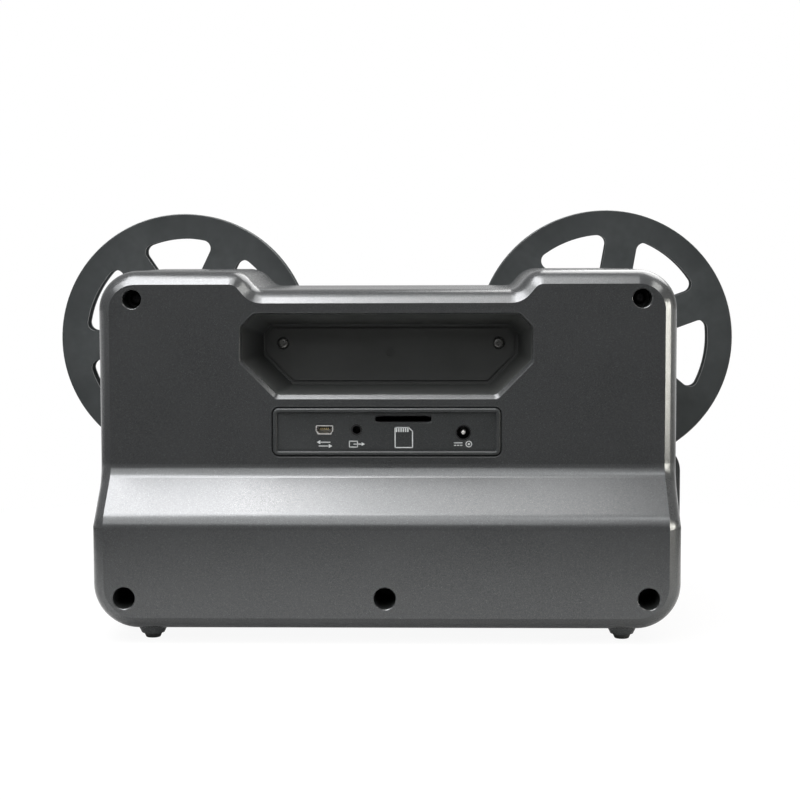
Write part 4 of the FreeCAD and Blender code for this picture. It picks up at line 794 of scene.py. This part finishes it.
class Assembly:
    """Sub-assembly of the scanner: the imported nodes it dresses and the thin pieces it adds."""

    def finishes(self) -> dict[str, Finishes]:
        """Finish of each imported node; every sub-assembly names its own."""
        raise NotImplementedError

    def add_pieces(self) -> None:
        """Build own pieces; most sub-assemblies have none."""

    def build(self) -> list[str]:
        """Dress the nodes and build the pieces.

        Returns:
            Names of the dressed nodes.
        """
        finishes = self.finishes()
        for name, finish in finishes.items():
            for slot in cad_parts[name].material_slots:
                slot.material = finish.value.material()
            log.info("node %s has finish %s", name, finish.value.name)
        self.add_pieces()
        return list(finishes)


@dataclass
class Casing(Assembly):
    """Rear and front shell, base, case screws and feet."""

    def finishes(self) -> dict[str, Finishes]:
        """Lacquer on the mouldings, rubber on the feet, black steel deep in the holes.

        Returns:
            Finish of each node.
        """
        return {
            "rear_shell": Finishes.REAR_SHELL, "front_shell": Finishes.SHELL,
            "front_base": Finishes.SHELL, "rubber_feet": Finishes.RUBBER,
            "case_screws": Finishes.BLACK_METAL,
        }


@dataclass
class CarryingRecess(Assembly):
    """Black cup of the carrying recess and its two screws."""

    def finishes(self) -> dict[str, Finishes]:
        """Matt plastic and dull zinc."""
        return {"recess_cup": Finishes.RECESS, "recess_screws": Finishes.ZINC}


@dataclass
class SocketRow(Assembly):
    """Sunk panel with four sockets, plain signs below them and the contacts of the small port.

    A run gives an arrow's tail, its neck and its head's middle, from the middle of the sign.
    """

    face: float = 64.2
    film: float = 0.04
    sign_z: float = 84.8
    thin: float = 0.4
    card: Flat = (-7.6, 87.7)
    card_size: Flat = (7.7, 8.9)
    card_line: float = 0.46
    card_cut: float = 1.7
    bar_xs: Flat = (-4.4, -9.4)
    bar_zs: Flat = (91.85, 90.45)
    bar_count: int = 6
    bar_width: float = 0.6
    data_x: float = 27.5
    data_lift: float = 0.85
    data_run: Point = (-2.4, 1.6, 2.4)
    data_head: float = 1.05
    picture_x: float = 13.3
    picture_sides: Flat = (3.2, -0.4)
    picture_half: float = 1.3
    picture_run: Point = (1.2, -2.0, -2.7)
    picture_head: float = 0.95
    power_x: float = -33.9
    power_lift: float = 0.55
    power_line: Flat = (4.0, 0.6)
    power_dashes: Point = (4.0, 2.65, 1.3)
    power_dash: float = 0.65
    ring_shift: float = -2.4
    ring_radius: float = 1.45
    ring_line: float = 0.38
    dot_radius: float = 0.5
    contact_count: int = 5
    contact_pitch: float = 0.8
    contact_width: float = 0.4
    contact_ys: Flat = (56.0, 63.12)
    contact_zs: Flat = (91.12, 91.32)
    tip_y: float = 62.98
    tip_top: float = 91.9
    tip_overlap: float = 0.05
    contact_bevel: float = 0.03

    def finishes(self) -> dict[str, Finishes]:
        """Lacquer on the panel, and sheet metal and black mouldings in it.

        Returns:
            Finish of each node.
        """
        return {
            "socket_panel": Finishes.PANEL, "data_port": Finishes.PORT,
            "av_jack": Finishes.ROUND_JACK, "card_socket": Finishes.CARD_PLASTIC,
            "dc_jack": Finishes.POWER_JACK,
        }

    def add_pieces(self) -> None:
        """Print the signs and lay the contacts."""
        self.signs()
        self.contacts()

    def signs(self) -> None:
        """Print one plain sign below each socket."""
        shape = Shape()
        depths = self.face - SINK, self.face + self.film
        self.card_sign(shape, depths)
        self.data_sign(shape, depths)
        self.picture_sign(shape, depths)
        self.power_sign(shape, depths)
        shape.piece("socket_signs", "casing", Finishes.PRINT, "key_grey")

    def card_sign(self, shape: Shape, depths: Flat) -> None:
        """Outline of a memory card with its row of contacts and one cut corner.

        Args:
            shape: Mesh that gets the sign.
            depths: Depths between which the print lies.
        """
        x, z = self.card
        half, tall = self.card_size[0] / 2, self.card_size[1] / 2
        corners = [(x + half, z + tall), (x - half + self.card_cut, z + tall),
                   (x - half, z + tall - self.card_cut), (x - half, z - tall), (x + half, z - tall)]
        shape.outline(corners, self.card_line, *depths)
        top, bottom = self.bar_zs
        step = (self.bar_xs[1] - self.bar_xs[0]) / (self.bar_count - 1)
        for number in range(self.bar_count):
            across = self.bar_xs[0] + number * step
            shape.stroke((across, bottom), (across, top), self.bar_width, *depths)

    def data_sign(self, shape: Shape, depths: Flat) -> None:
        """Two arrows that point both ways, for data in and out.

        Args:
            shape: Mesh that gets the sign.
            depths: Depths between which the print lies.
        """
        for way, turn in ((1.0, 0.0), (-1.0, 180.0)):
            z = self.sign_z + way * self.data_lift
            tail, neck, head = (self.data_x + way * offset for offset in self.data_run)
            shape.stroke((tail, z), (neck, z), self.thin, *depths)
            shape.plate((head, z), self.data_head, ARROW_CORNERS, *depths, turn=turn)

    def picture_sign(self, shape: Shape, depths: Flat) -> None:
        """Screen outline with an arrow that leaves it.

        Args:
            shape: Mesh that gets the sign.
            depths: Depths between which the print lies.
        """
        z = self.sign_z
        left, right = (self.picture_x + side for side in self.picture_sides)
        tail, neck, head = (self.picture_x + offset for offset in self.picture_run)
        shape.rectangle((left, z + self.picture_half), (right, z - self.picture_half), self.thin,
                        *depths)
        shape.stroke((tail, z), (neck, z), self.thin, *depths)
        shape.plate((head, z), self.picture_head, ARROW_CORNERS, *depths, turn=180.0)

    def power_sign(self, shape: Shape, depths: Flat) -> None:
        """Direct current sign: a full line over a broken one, beside a ring with a middle dot.

        Args:
            shape: Mesh that gets the sign.
            depths: Depths between which the print lies.
        """
        x, z = self.power_x, self.sign_z
        over, under = z + self.power_lift, z - self.power_lift
        left, right = (x + offset for offset in self.power_line)
        shape.stroke((left, over), (right, over), self.thin, *depths)
        for offset in self.power_dashes:
            left = x + offset
            shape.stroke((left, under), (left - self.power_dash, under), self.thin, *depths)
        middle = x + self.ring_shift, z
        shape.ring(middle, self.ring_radius, self.ring_line, *depths)
        shape.plate(middle, self.dot_radius, DISC_CORNERS, *depths)

    def contacts(self) -> None:
        """Lay the gilt contacts under the port's tongue, with their tips turned up at its end."""
        shape = Shape()
        for number in range(self.contact_count):
            x = self.data_x + (number - (self.contact_count - 1) / 2) * self.contact_pitch
            left, right = x - self.contact_width / 2, x + self.contact_width / 2
            verts = shape.block((left, self.contact_ys[0], self.contact_zs[0]),
                                (right, self.contact_ys[1], self.contact_zs[1]))
            verts += shape.block((left, self.tip_y, self.contact_zs[1] - self.tip_overlap),
                                 (right, self.contact_ys[1], self.tip_top))
            edges = {edge for vert in verts for edge in vert.link_edges}
            bmesh.ops.bevel(shape.mesh, geom=list(edges), offset=self.contact_bevel, affect="EDGES",
                            segments=1, profile=0.5, material=-1)
        shape.piece("data_contacts", "casing", Finishes.GOLD, "bush_brass")


@dataclass
class MainElectronics(Assembly):
    """Main board under the sockets and its screws."""

    def finishes(self) -> dict[str, Finishes]:
        """Solder mask and dull zinc."""
        return {"main_board": Finishes.MAIN_BOARD, "board_screws": Finishes.ZINC}


@dataclass
class ControlFront(Assembly):
    """Screen, keys and slider on the front, with the signs printed round them.

    A run gives an arrow's tail, its neck and its head's middle, from the middle of the sign.
    """

    panel_face: float = -46.5
    deck_face: float = -45.0
    film: float = 0.04
    thin: float = 0.36
    key_xs: tuple[float, ...] = (-28.0, -14.0, 0.0, 14.0, 28.0)
    key_sign_z: float = 97.3
    stop_half: float = 0.9
    twin_shifts: Flat = (-0.75, 0.75)
    twin_head: float = 0.95
    start_head: float = 1.3
    store_radius: float = 1.25
    dot_radius: float = 0.5
    strip_xs: Flat = (-49.0, -40.0)
    strip_holes: tuple[tuple[float, ...], ...] = ((-2.0, 2.0), (0.0,))
    strip_z: float = 72.7
    strip_size: Flat = (4.0, 6.4)
    hole_size: float = 0.9
    arrow_xs: Flat = (-88.0, 88.0)
    arrow_z: float = 49.7
    arrow_run: Point = (-6.0, 3.6, 4.6)
    arrow_line: float = 0.5
    arrow_head: float = 1.9

    def finishes(self) -> dict[str, Finishes]:
        """Gloss black round a dark display, grey keys and slider.

        Returns:
            Finish of each node.
        """
        keys = {f"button_{number}": Finishes.KEY for number in range(1, len(self.key_xs) + 1)}
        return keys | {
            "control_panel": Finishes.GLOSS, "screen_glass": Finishes.PANE,
            "display_module": Finishes.DISPLAY, "keypad_board": Finishes.KEY_BOARD,
            "size_slider": Finishes.KEY,
        }

    def add_pieces(self) -> None:
        """Print the key signs and the film signs."""
        self.key_signs()
        self.film_signs()

    def key_signs(self) -> None:
        """Print a plain sign above each key: stop, back, start, forward and store."""
        shape = Shape()
        depths = self.panel_face - self.film, self.panel_face + SINK
        z = self.key_sign_z
        stop, back, start, forward, store = self.key_xs
        half = self.stop_half
        shape.rectangle((stop - half, z - half), (stop + half, z + half), self.thin, *depths)
        for shift in self.twin_shifts:
            shape.plate((back + shift, z), self.twin_head, ARROW_CORNERS, *depths, turn=180.0)
            shape.plate((forward + shift, z), self.twin_head, ARROW_CORNERS, *depths)
        shape.plate((start, z), self.start_head, ARROW_CORNERS, *depths)
        shape.ring((store, z), self.store_radius, self.thin, *depths)
        shape.plate((store, z), self.dot_radius, DISC_CORNERS, *depths)
        shape.piece("key_signs", "casing", Finishes.PRINT, "key_grey")

    def film_signs(self) -> None:
        """Print strips for the two film sizes over the slider, and arrows along the film's way."""
        shape = Shape()
        depths = self.deck_face - self.film, self.deck_face + SINK
        for x, holes in zip(self.strip_xs, self.strip_holes):
            self.strip_sign(shape, x, holes, depths)
        z = self.arrow_z
        for x in self.arrow_xs:
            tail, neck, head = (x + offset for offset in self.arrow_run)
            shape.stroke((tail, z), (neck, z), self.arrow_line, *depths)
            shape.plate((head, z), self.arrow_head, ARROW_CORNERS, *depths)
        shape.piece("film_signs", "casing", Finishes.PRINT, "key_grey")

    def strip_sign(self, shape: Shape, x: float, holes: tuple[float, ...], depths: Flat) -> None:
        """Outline of one film frame with its holes at the left.

        Args:
            shape: Mesh that gets the sign.
            x: Middle of the sign.
            holes: Heights of the holes over its middle.
            depths: Depths between which the print lies.
        """
        half, tall, z = self.strip_size[0] / 2, self.strip_size[1] / 2, self.strip_z
        shape.rectangle((x - half, z - tall), (x + half, z + tall), self.thin, *depths)
        for lift in holes:
            middle = x - half + self.hole_size, z + lift
            shape.stroke(middle, middle, self.hole_size, *depths)


@dataclass
class ReelDrives(Assembly):
    """Both reels with their spindles, gears, motors and brackets."""

    names: tuple[str, ...] = ("supply", "take_up")

    def finishes(self) -> dict[str, Finishes]:
        """Grey reels on black spindles, pale gears, brass pinions and bare motors.

        Returns:
            Finish of each node.
        """
        parts = {
            "spindle": Finishes.SPINDLE, "gear": Finishes.GEAR, "pinion": Finishes.BRASS,
            "motor": Finishes.CAN, "reel_back": Finishes.REEL, "reel_front": Finishes.REEL,
        }
        both = {f"{name}_{part}": finish for name in self.names for part, finish in parts.items()}
        return both | {
            "spindle_bushes": Finishes.BRASS, "motor_brackets": Finishes.SHEET,
            "bracket_screws": Finishes.ZINC,
        }


@dataclass
class FilmTrack(Assembly):
    """Guide rollers, gate with its door and pressure plate, and the lamp behind the film."""

    roller_count: int = 4

    def finishes(self) -> dict[str, Finishes]:
        """Black rollers on turned posts, a blasted track, a black door and a milky diffuser.

        Returns:
            Finish of each node.
        """
        numbers = range(1, self.roller_count + 1)
        rollers = {f"guide_roller_{number}": Finishes.ROLLER for number in numbers}
        return rollers | {
            "roller_posts": Finishes.STEEL, "gate_plate": Finishes.ALUMINIUM,
            "gate_door": Finishes.DOOR, "hinge_pin": Finishes.STEEL,
            "pressure_plate": Finishes.ALUMINIUM, "diffuser": Finishes.MILK,
            "light_board": Finishes.LAMP_BOARD,
        }


@dataclass
class Transport(Assembly):
    """Motor, cam and claw that pull the film from frame to frame."""

    def finishes(self) -> dict[str, Finishes]:
        """Zinc plated sheet, a bare motor, a brass pinion and a pale gear.

        Returns:
            Finish of each node.
        """
        return {
            "transport_frame": Finishes.SHEET, "transport_motor": Finishes.CAN,
            "transport_pinion": Finishes.BRASS, "cam_gear": Finishes.GEAR,
            "claw_lever": Finishes.SHEET,
        }


@dataclass
class Camera(Assembly):
    """Mirror, lenses and sensor that take the pictures."""

    def finishes(self) -> dict[str, Finishes]:
        """Silvered and clear glass in a black barrel, on plated sheet.

        Returns:
            Finish of each node.
        """
        return {
            "fold_mirror": Finishes.MIRROR, "lens_barrel": Finishes.BLACK_METAL,
            "lens_elements": Finishes.LENS, "camera_bracket": Finishes.SHEET,
            "sensor_board": Finishes.SENSOR_BOARD,
        }


@dataclass(frozen=True)
class PhotoCamera:
    """Camera at the photograph's place and angle; the angles are radians, the clip metres."""

    place: Point = (-29.07, 889.44, 169.7)
    yaw: float = 0.028
    pitch: float = 0.079
    roll: float = -0.003
    lens: float = 84.465
    sensor: float = 36.0
    clip: Flat = (0.01, 50.0)

    def build(self) -> None:
        """Create the camera and make it the scene's own."""
        data = bpy.data.cameras.new("photo_camera")
        data.lens = self.lens
        data.sensor_width = self.sensor
        data.clip_start, data.clip_end = self.clip
        camera = bpy.data.objects.new("photo_camera", data)
        level = math.cos(self.pitch)
        forward = Vector((math.sin(self.yaw) * level, -math.cos(self.yaw) * level,
                          -math.sin(self.pitch)))
        right = Vector((-math.cos(self.yaw), -math.sin(self.yaw), 0.0))
        up = right.cross(forward)
        turn = math.cos(self.roll), math.sin(self.roll)
        right, up = turn[0] * right + turn[1] * up, turn[0] * up - turn[1] * right
        turned = Matrix((right, up, -forward)).transposed().to_quaternion()
        camera.matrix_world = Matrix.LocRotScale(Vector(self.place) * MM, turned, None)
        bpy.context.scene.collection.objects.link(camera)
        bpy.context.scene.camera = camera
        log.info("camera stands at %s mm", self.place)


@dataclass(frozen=True)
class SoftBox:
    """Rectangular studio light that looks at a point, in metres and watts."""

    name: str
    place: Point
    target: Point
    size: Flat
    power: float
    colour: Colour = (1.0, 1.0, 1.0)
    mirrored: bool = True

    def build(self) -> None:
        """Hang the light and turn it to its target."""
        data = bpy.data.lights.new(self.name, "AREA")
        data.shape = "RECTANGLE"
        data.size, data.size_y = self.size
        data.energy = self.power
        data.color = self.colour
        lamp = bpy.data.objects.new(self.name, data)
        lamp.location = self.place
        look = Vector(self.target) - Vector(self.place)
        lamp.rotation_euler = look.to_track_quat("-Z", "Y").to_euler()
        lamp.visible_glossy = self.mirrored
        bpy.context.scene.collection.objects.link(lamp)
        log.info("light %s has %.0f W", self.name, self.power)


@dataclass(frozen=True)
class Studio:
    """Pale floor, pale surroundings and soft lights, in metres.

    Away from the scanner the paper turns into even white, over the distances of fade. Close to it,
    lift is the white's share for the camera and dimming its share for everything else, and bounce
    is its light there, over the distances of bounce_reach. Past the depths of white_from the white
    also lights the scanner. The surroundings glow, and brighten to wall within white_cone.
    """

    floor_size: float = 12.0
    floor_parts: int = 24
    floor_colour: Colour = (0.82, 0.82, 0.81)
    floor_tones: Flat = (0.985, 1.0)
    floor_cloud: float = 400.0
    floor_roughness: float = 0.75
    floor_grain: float = 1.5
    floor_depth: float = 0.02
    fade: Flat = (0.16, 0.42)
    white_from: Flat = (-0.3, -0.8)
    white_cone: Flat = (-0.7, -0.9)
    dimming: float = 0.4
    lift: float = 0.93
    bounce: Flat = (0.34, 0.0)
    bounce_reach: Flat = (0.12, 0.26)
    glow: float = 0.18
    wall: float = 0.55
    lights: tuple[SoftBox, ...] = (
        SoftBox("overhead_left", (0.44, 0.12, 1.2), (0.34, 0.06, 0.1),
                (0.64, 0.62), 15.0, (1.0, 0.99, 1.0)),
        SoftBox("overhead_middle", (0.0, 0.12, 1.2), (0.0, 0.06, 0.1),
                (0.42, 0.5), 3.2, (1.0, 0.99, 0.98)),
        SoftBox("high_front", (-0.45, -0.8, 0.9), (-0.1, 0.0, 0.1),
                (0.8, 0.8), 9.0, (1.0, 0.99, 0.98)),
        SoftBox("side_right", (-1.2, 0.05, 0.14), (-0.12, 0.05, 0.1),
                (0.14, 0.5), 9.0, (1.0, 0.97, 0.88)),
        SoftBox("side_left", (1.4, 0.3, 0.16), (0.12, 0.05, 0.1),
                (0.3, 0.4), 0.8, (0.96, 0.98, 1.0)),
        SoftBox("corner_left", (0.95, 0.1, 1.05), (0.1, 0.08, 0.1), (0.4, 0.4), 2.6),
        SoftBox("corner_right", (-0.95, 0.1, 1.05), (-0.1, 0.08, 0.1),
                (0.4, 0.4), 3.2, (1.0, 0.98, 0.94)),
        SoftBox("rear_high", (0.45, 1.4, 1.2), (0.0, 0.0, 0.1), (1.5, 1.0), 13.5),
        SoftBox("rear_top", (0.15, 0.74, 1.41), (0.0, 0.06, 0.06), (1.5, 0.5), 8.0),
        SoftBox("front_fill", (0.3, -1.6, 1.0), (0.0, 0.0, 0.1), (1.2, 0.8), 5.0, mirrored=False),
    )

    def build(self) -> None:
        """Lay the floor, set the surroundings and hang the lights."""
        self.lay_floor()
        self.set_surroundings()
        for light in self.lights:
            light.build()

    def lay_floor(self) -> None:
        """Lay a large sheet of pale paper under the scanner."""
        mesh = bmesh.new()
        bmesh.ops.create_grid(mesh, x_segments=self.floor_parts, y_segments=self.floor_parts,
                              size=self.floor_size / 2)
        data = bpy.data.meshes.new("floor")
        mesh.to_mesh(data)
        mesh.free()
        floor = bpy.data.objects.new("floor", data)
        graph = Graph("floor_paper")
        tone = graph.toned(graph.noise(self.floor_cloud), self.floor_colour, self.floor_tones)
        grain = graph.bump(graph.noise(self.floor_grain), self.floor_depth)
        graph.set(Base_Color=tone, Roughness=self.floor_roughness, Normal=grain)
        self.fade_out(graph)
        data.materials.append(graph.material)
        bpy.context.scene.collection.objects.link(floor)

    def fade_out(self, graph: Graph) -> None:
        """Let the paper turn into even white away from the scanner, and glow a little close to it.

        Args:
            graph: Material of the paper.
        """
        away = graph.add("ShaderNodeVectorMath", operation="LENGTH")
        graph.join(graph.place, away.inputs[0])
        far = graph.remap(away.outputs["Value"], self.fade, WHOLE)
        close = graph.remap(away.outputs["Value"], self.bounce_reach, self.bounce)
        seen = graph.add("ShaderNodeLightPath").outputs["Is Camera Ray"]
        behind = graph.remap(graph.axis("Y"), self.white_from, WHOLE)
        blend = graph.add("ShaderNodeMixShader")
        white = graph.add("ShaderNodeEmission")
        output = graph.tree.nodes["Material Output"]
        strength = graph.maths("MAXIMUM", graph.maths("MAXIMUM", seen, behind), close)
        graph.join(strength, white.inputs["Strength"])
        near = graph.remap(seen, WHOLE, (self.dimming, self.lift))
        graph.join(graph.maths("MAXIMUM", far, near), blend.inputs[0])
        graph.join(graph.shader.outputs[0], blend.inputs[1])
        graph.join(white.outputs[0], blend.inputs[2])
        graph.join(blend.outputs[0], output.inputs["Surface"])

    def set_surroundings(self) -> None:
        """Set white for the camera, and a dim glow with a brighter front for everything else."""
        world = bpy.data.worlds.new("studio")
        world.use_nodes = True
        tree = world.node_tree
        place = tree.nodes.new("ShaderNodeTexCoord")
        parts = tree.nodes.new("ShaderNodeSeparateXYZ")
        wall = tree.nodes.new("ShaderNodeMapRange")
        path = tree.nodes.new("ShaderNodeLightPath")
        most = tree.nodes.new("ShaderNodeMath")
        most.operation = "MAXIMUM"
        for name, number in zip(RANGE_INPUTS, (*self.white_cone, self.glow, self.wall)):
            wall.inputs[name].default_value = number
        shade = tree.nodes["Background"]
        shade.inputs["Color"].default_value = (1.0, 1.0, 1.0, 1.0)
        tree.links.new(place.outputs["Generated"], parts.inputs["Vector"])
        tree.links.new(parts.outputs["Y"], wall.inputs["Value"])
        tree.links.new(wall.outputs["Result"], most.inputs[0])
        tree.links.new(path.outputs["Is Camera Ray"], most.inputs[1])
        tree.links.new(most.outputs[0], shade.inputs["Strength"])
        bpy.context.scene.world = world
        bpy.context.scene.view_settings.view_transform = "Standard"


def main() -> None:
    """Dress the scanner sub-assembly by sub-assembly, and set up the studio."""
    logging.basicConfig(level=logging.INFO, format="%(message)s")
    PhotoCamera().build()
    Studio().build()
    dressed = []
    for assembly in (Casing(), CarryingRecess(), SocketRow(), MainElectronics(), ControlFront(),
                     ReelDrives(), FilmTrack(), Transport(), Camera()):
        dressed += assembly.build()
    bare = sorted(set(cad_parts) - set(dressed))
    if bare:
        raise ValueError(f"nodes without a finish: {bare}")


if __name__ == "__main__":
    main()
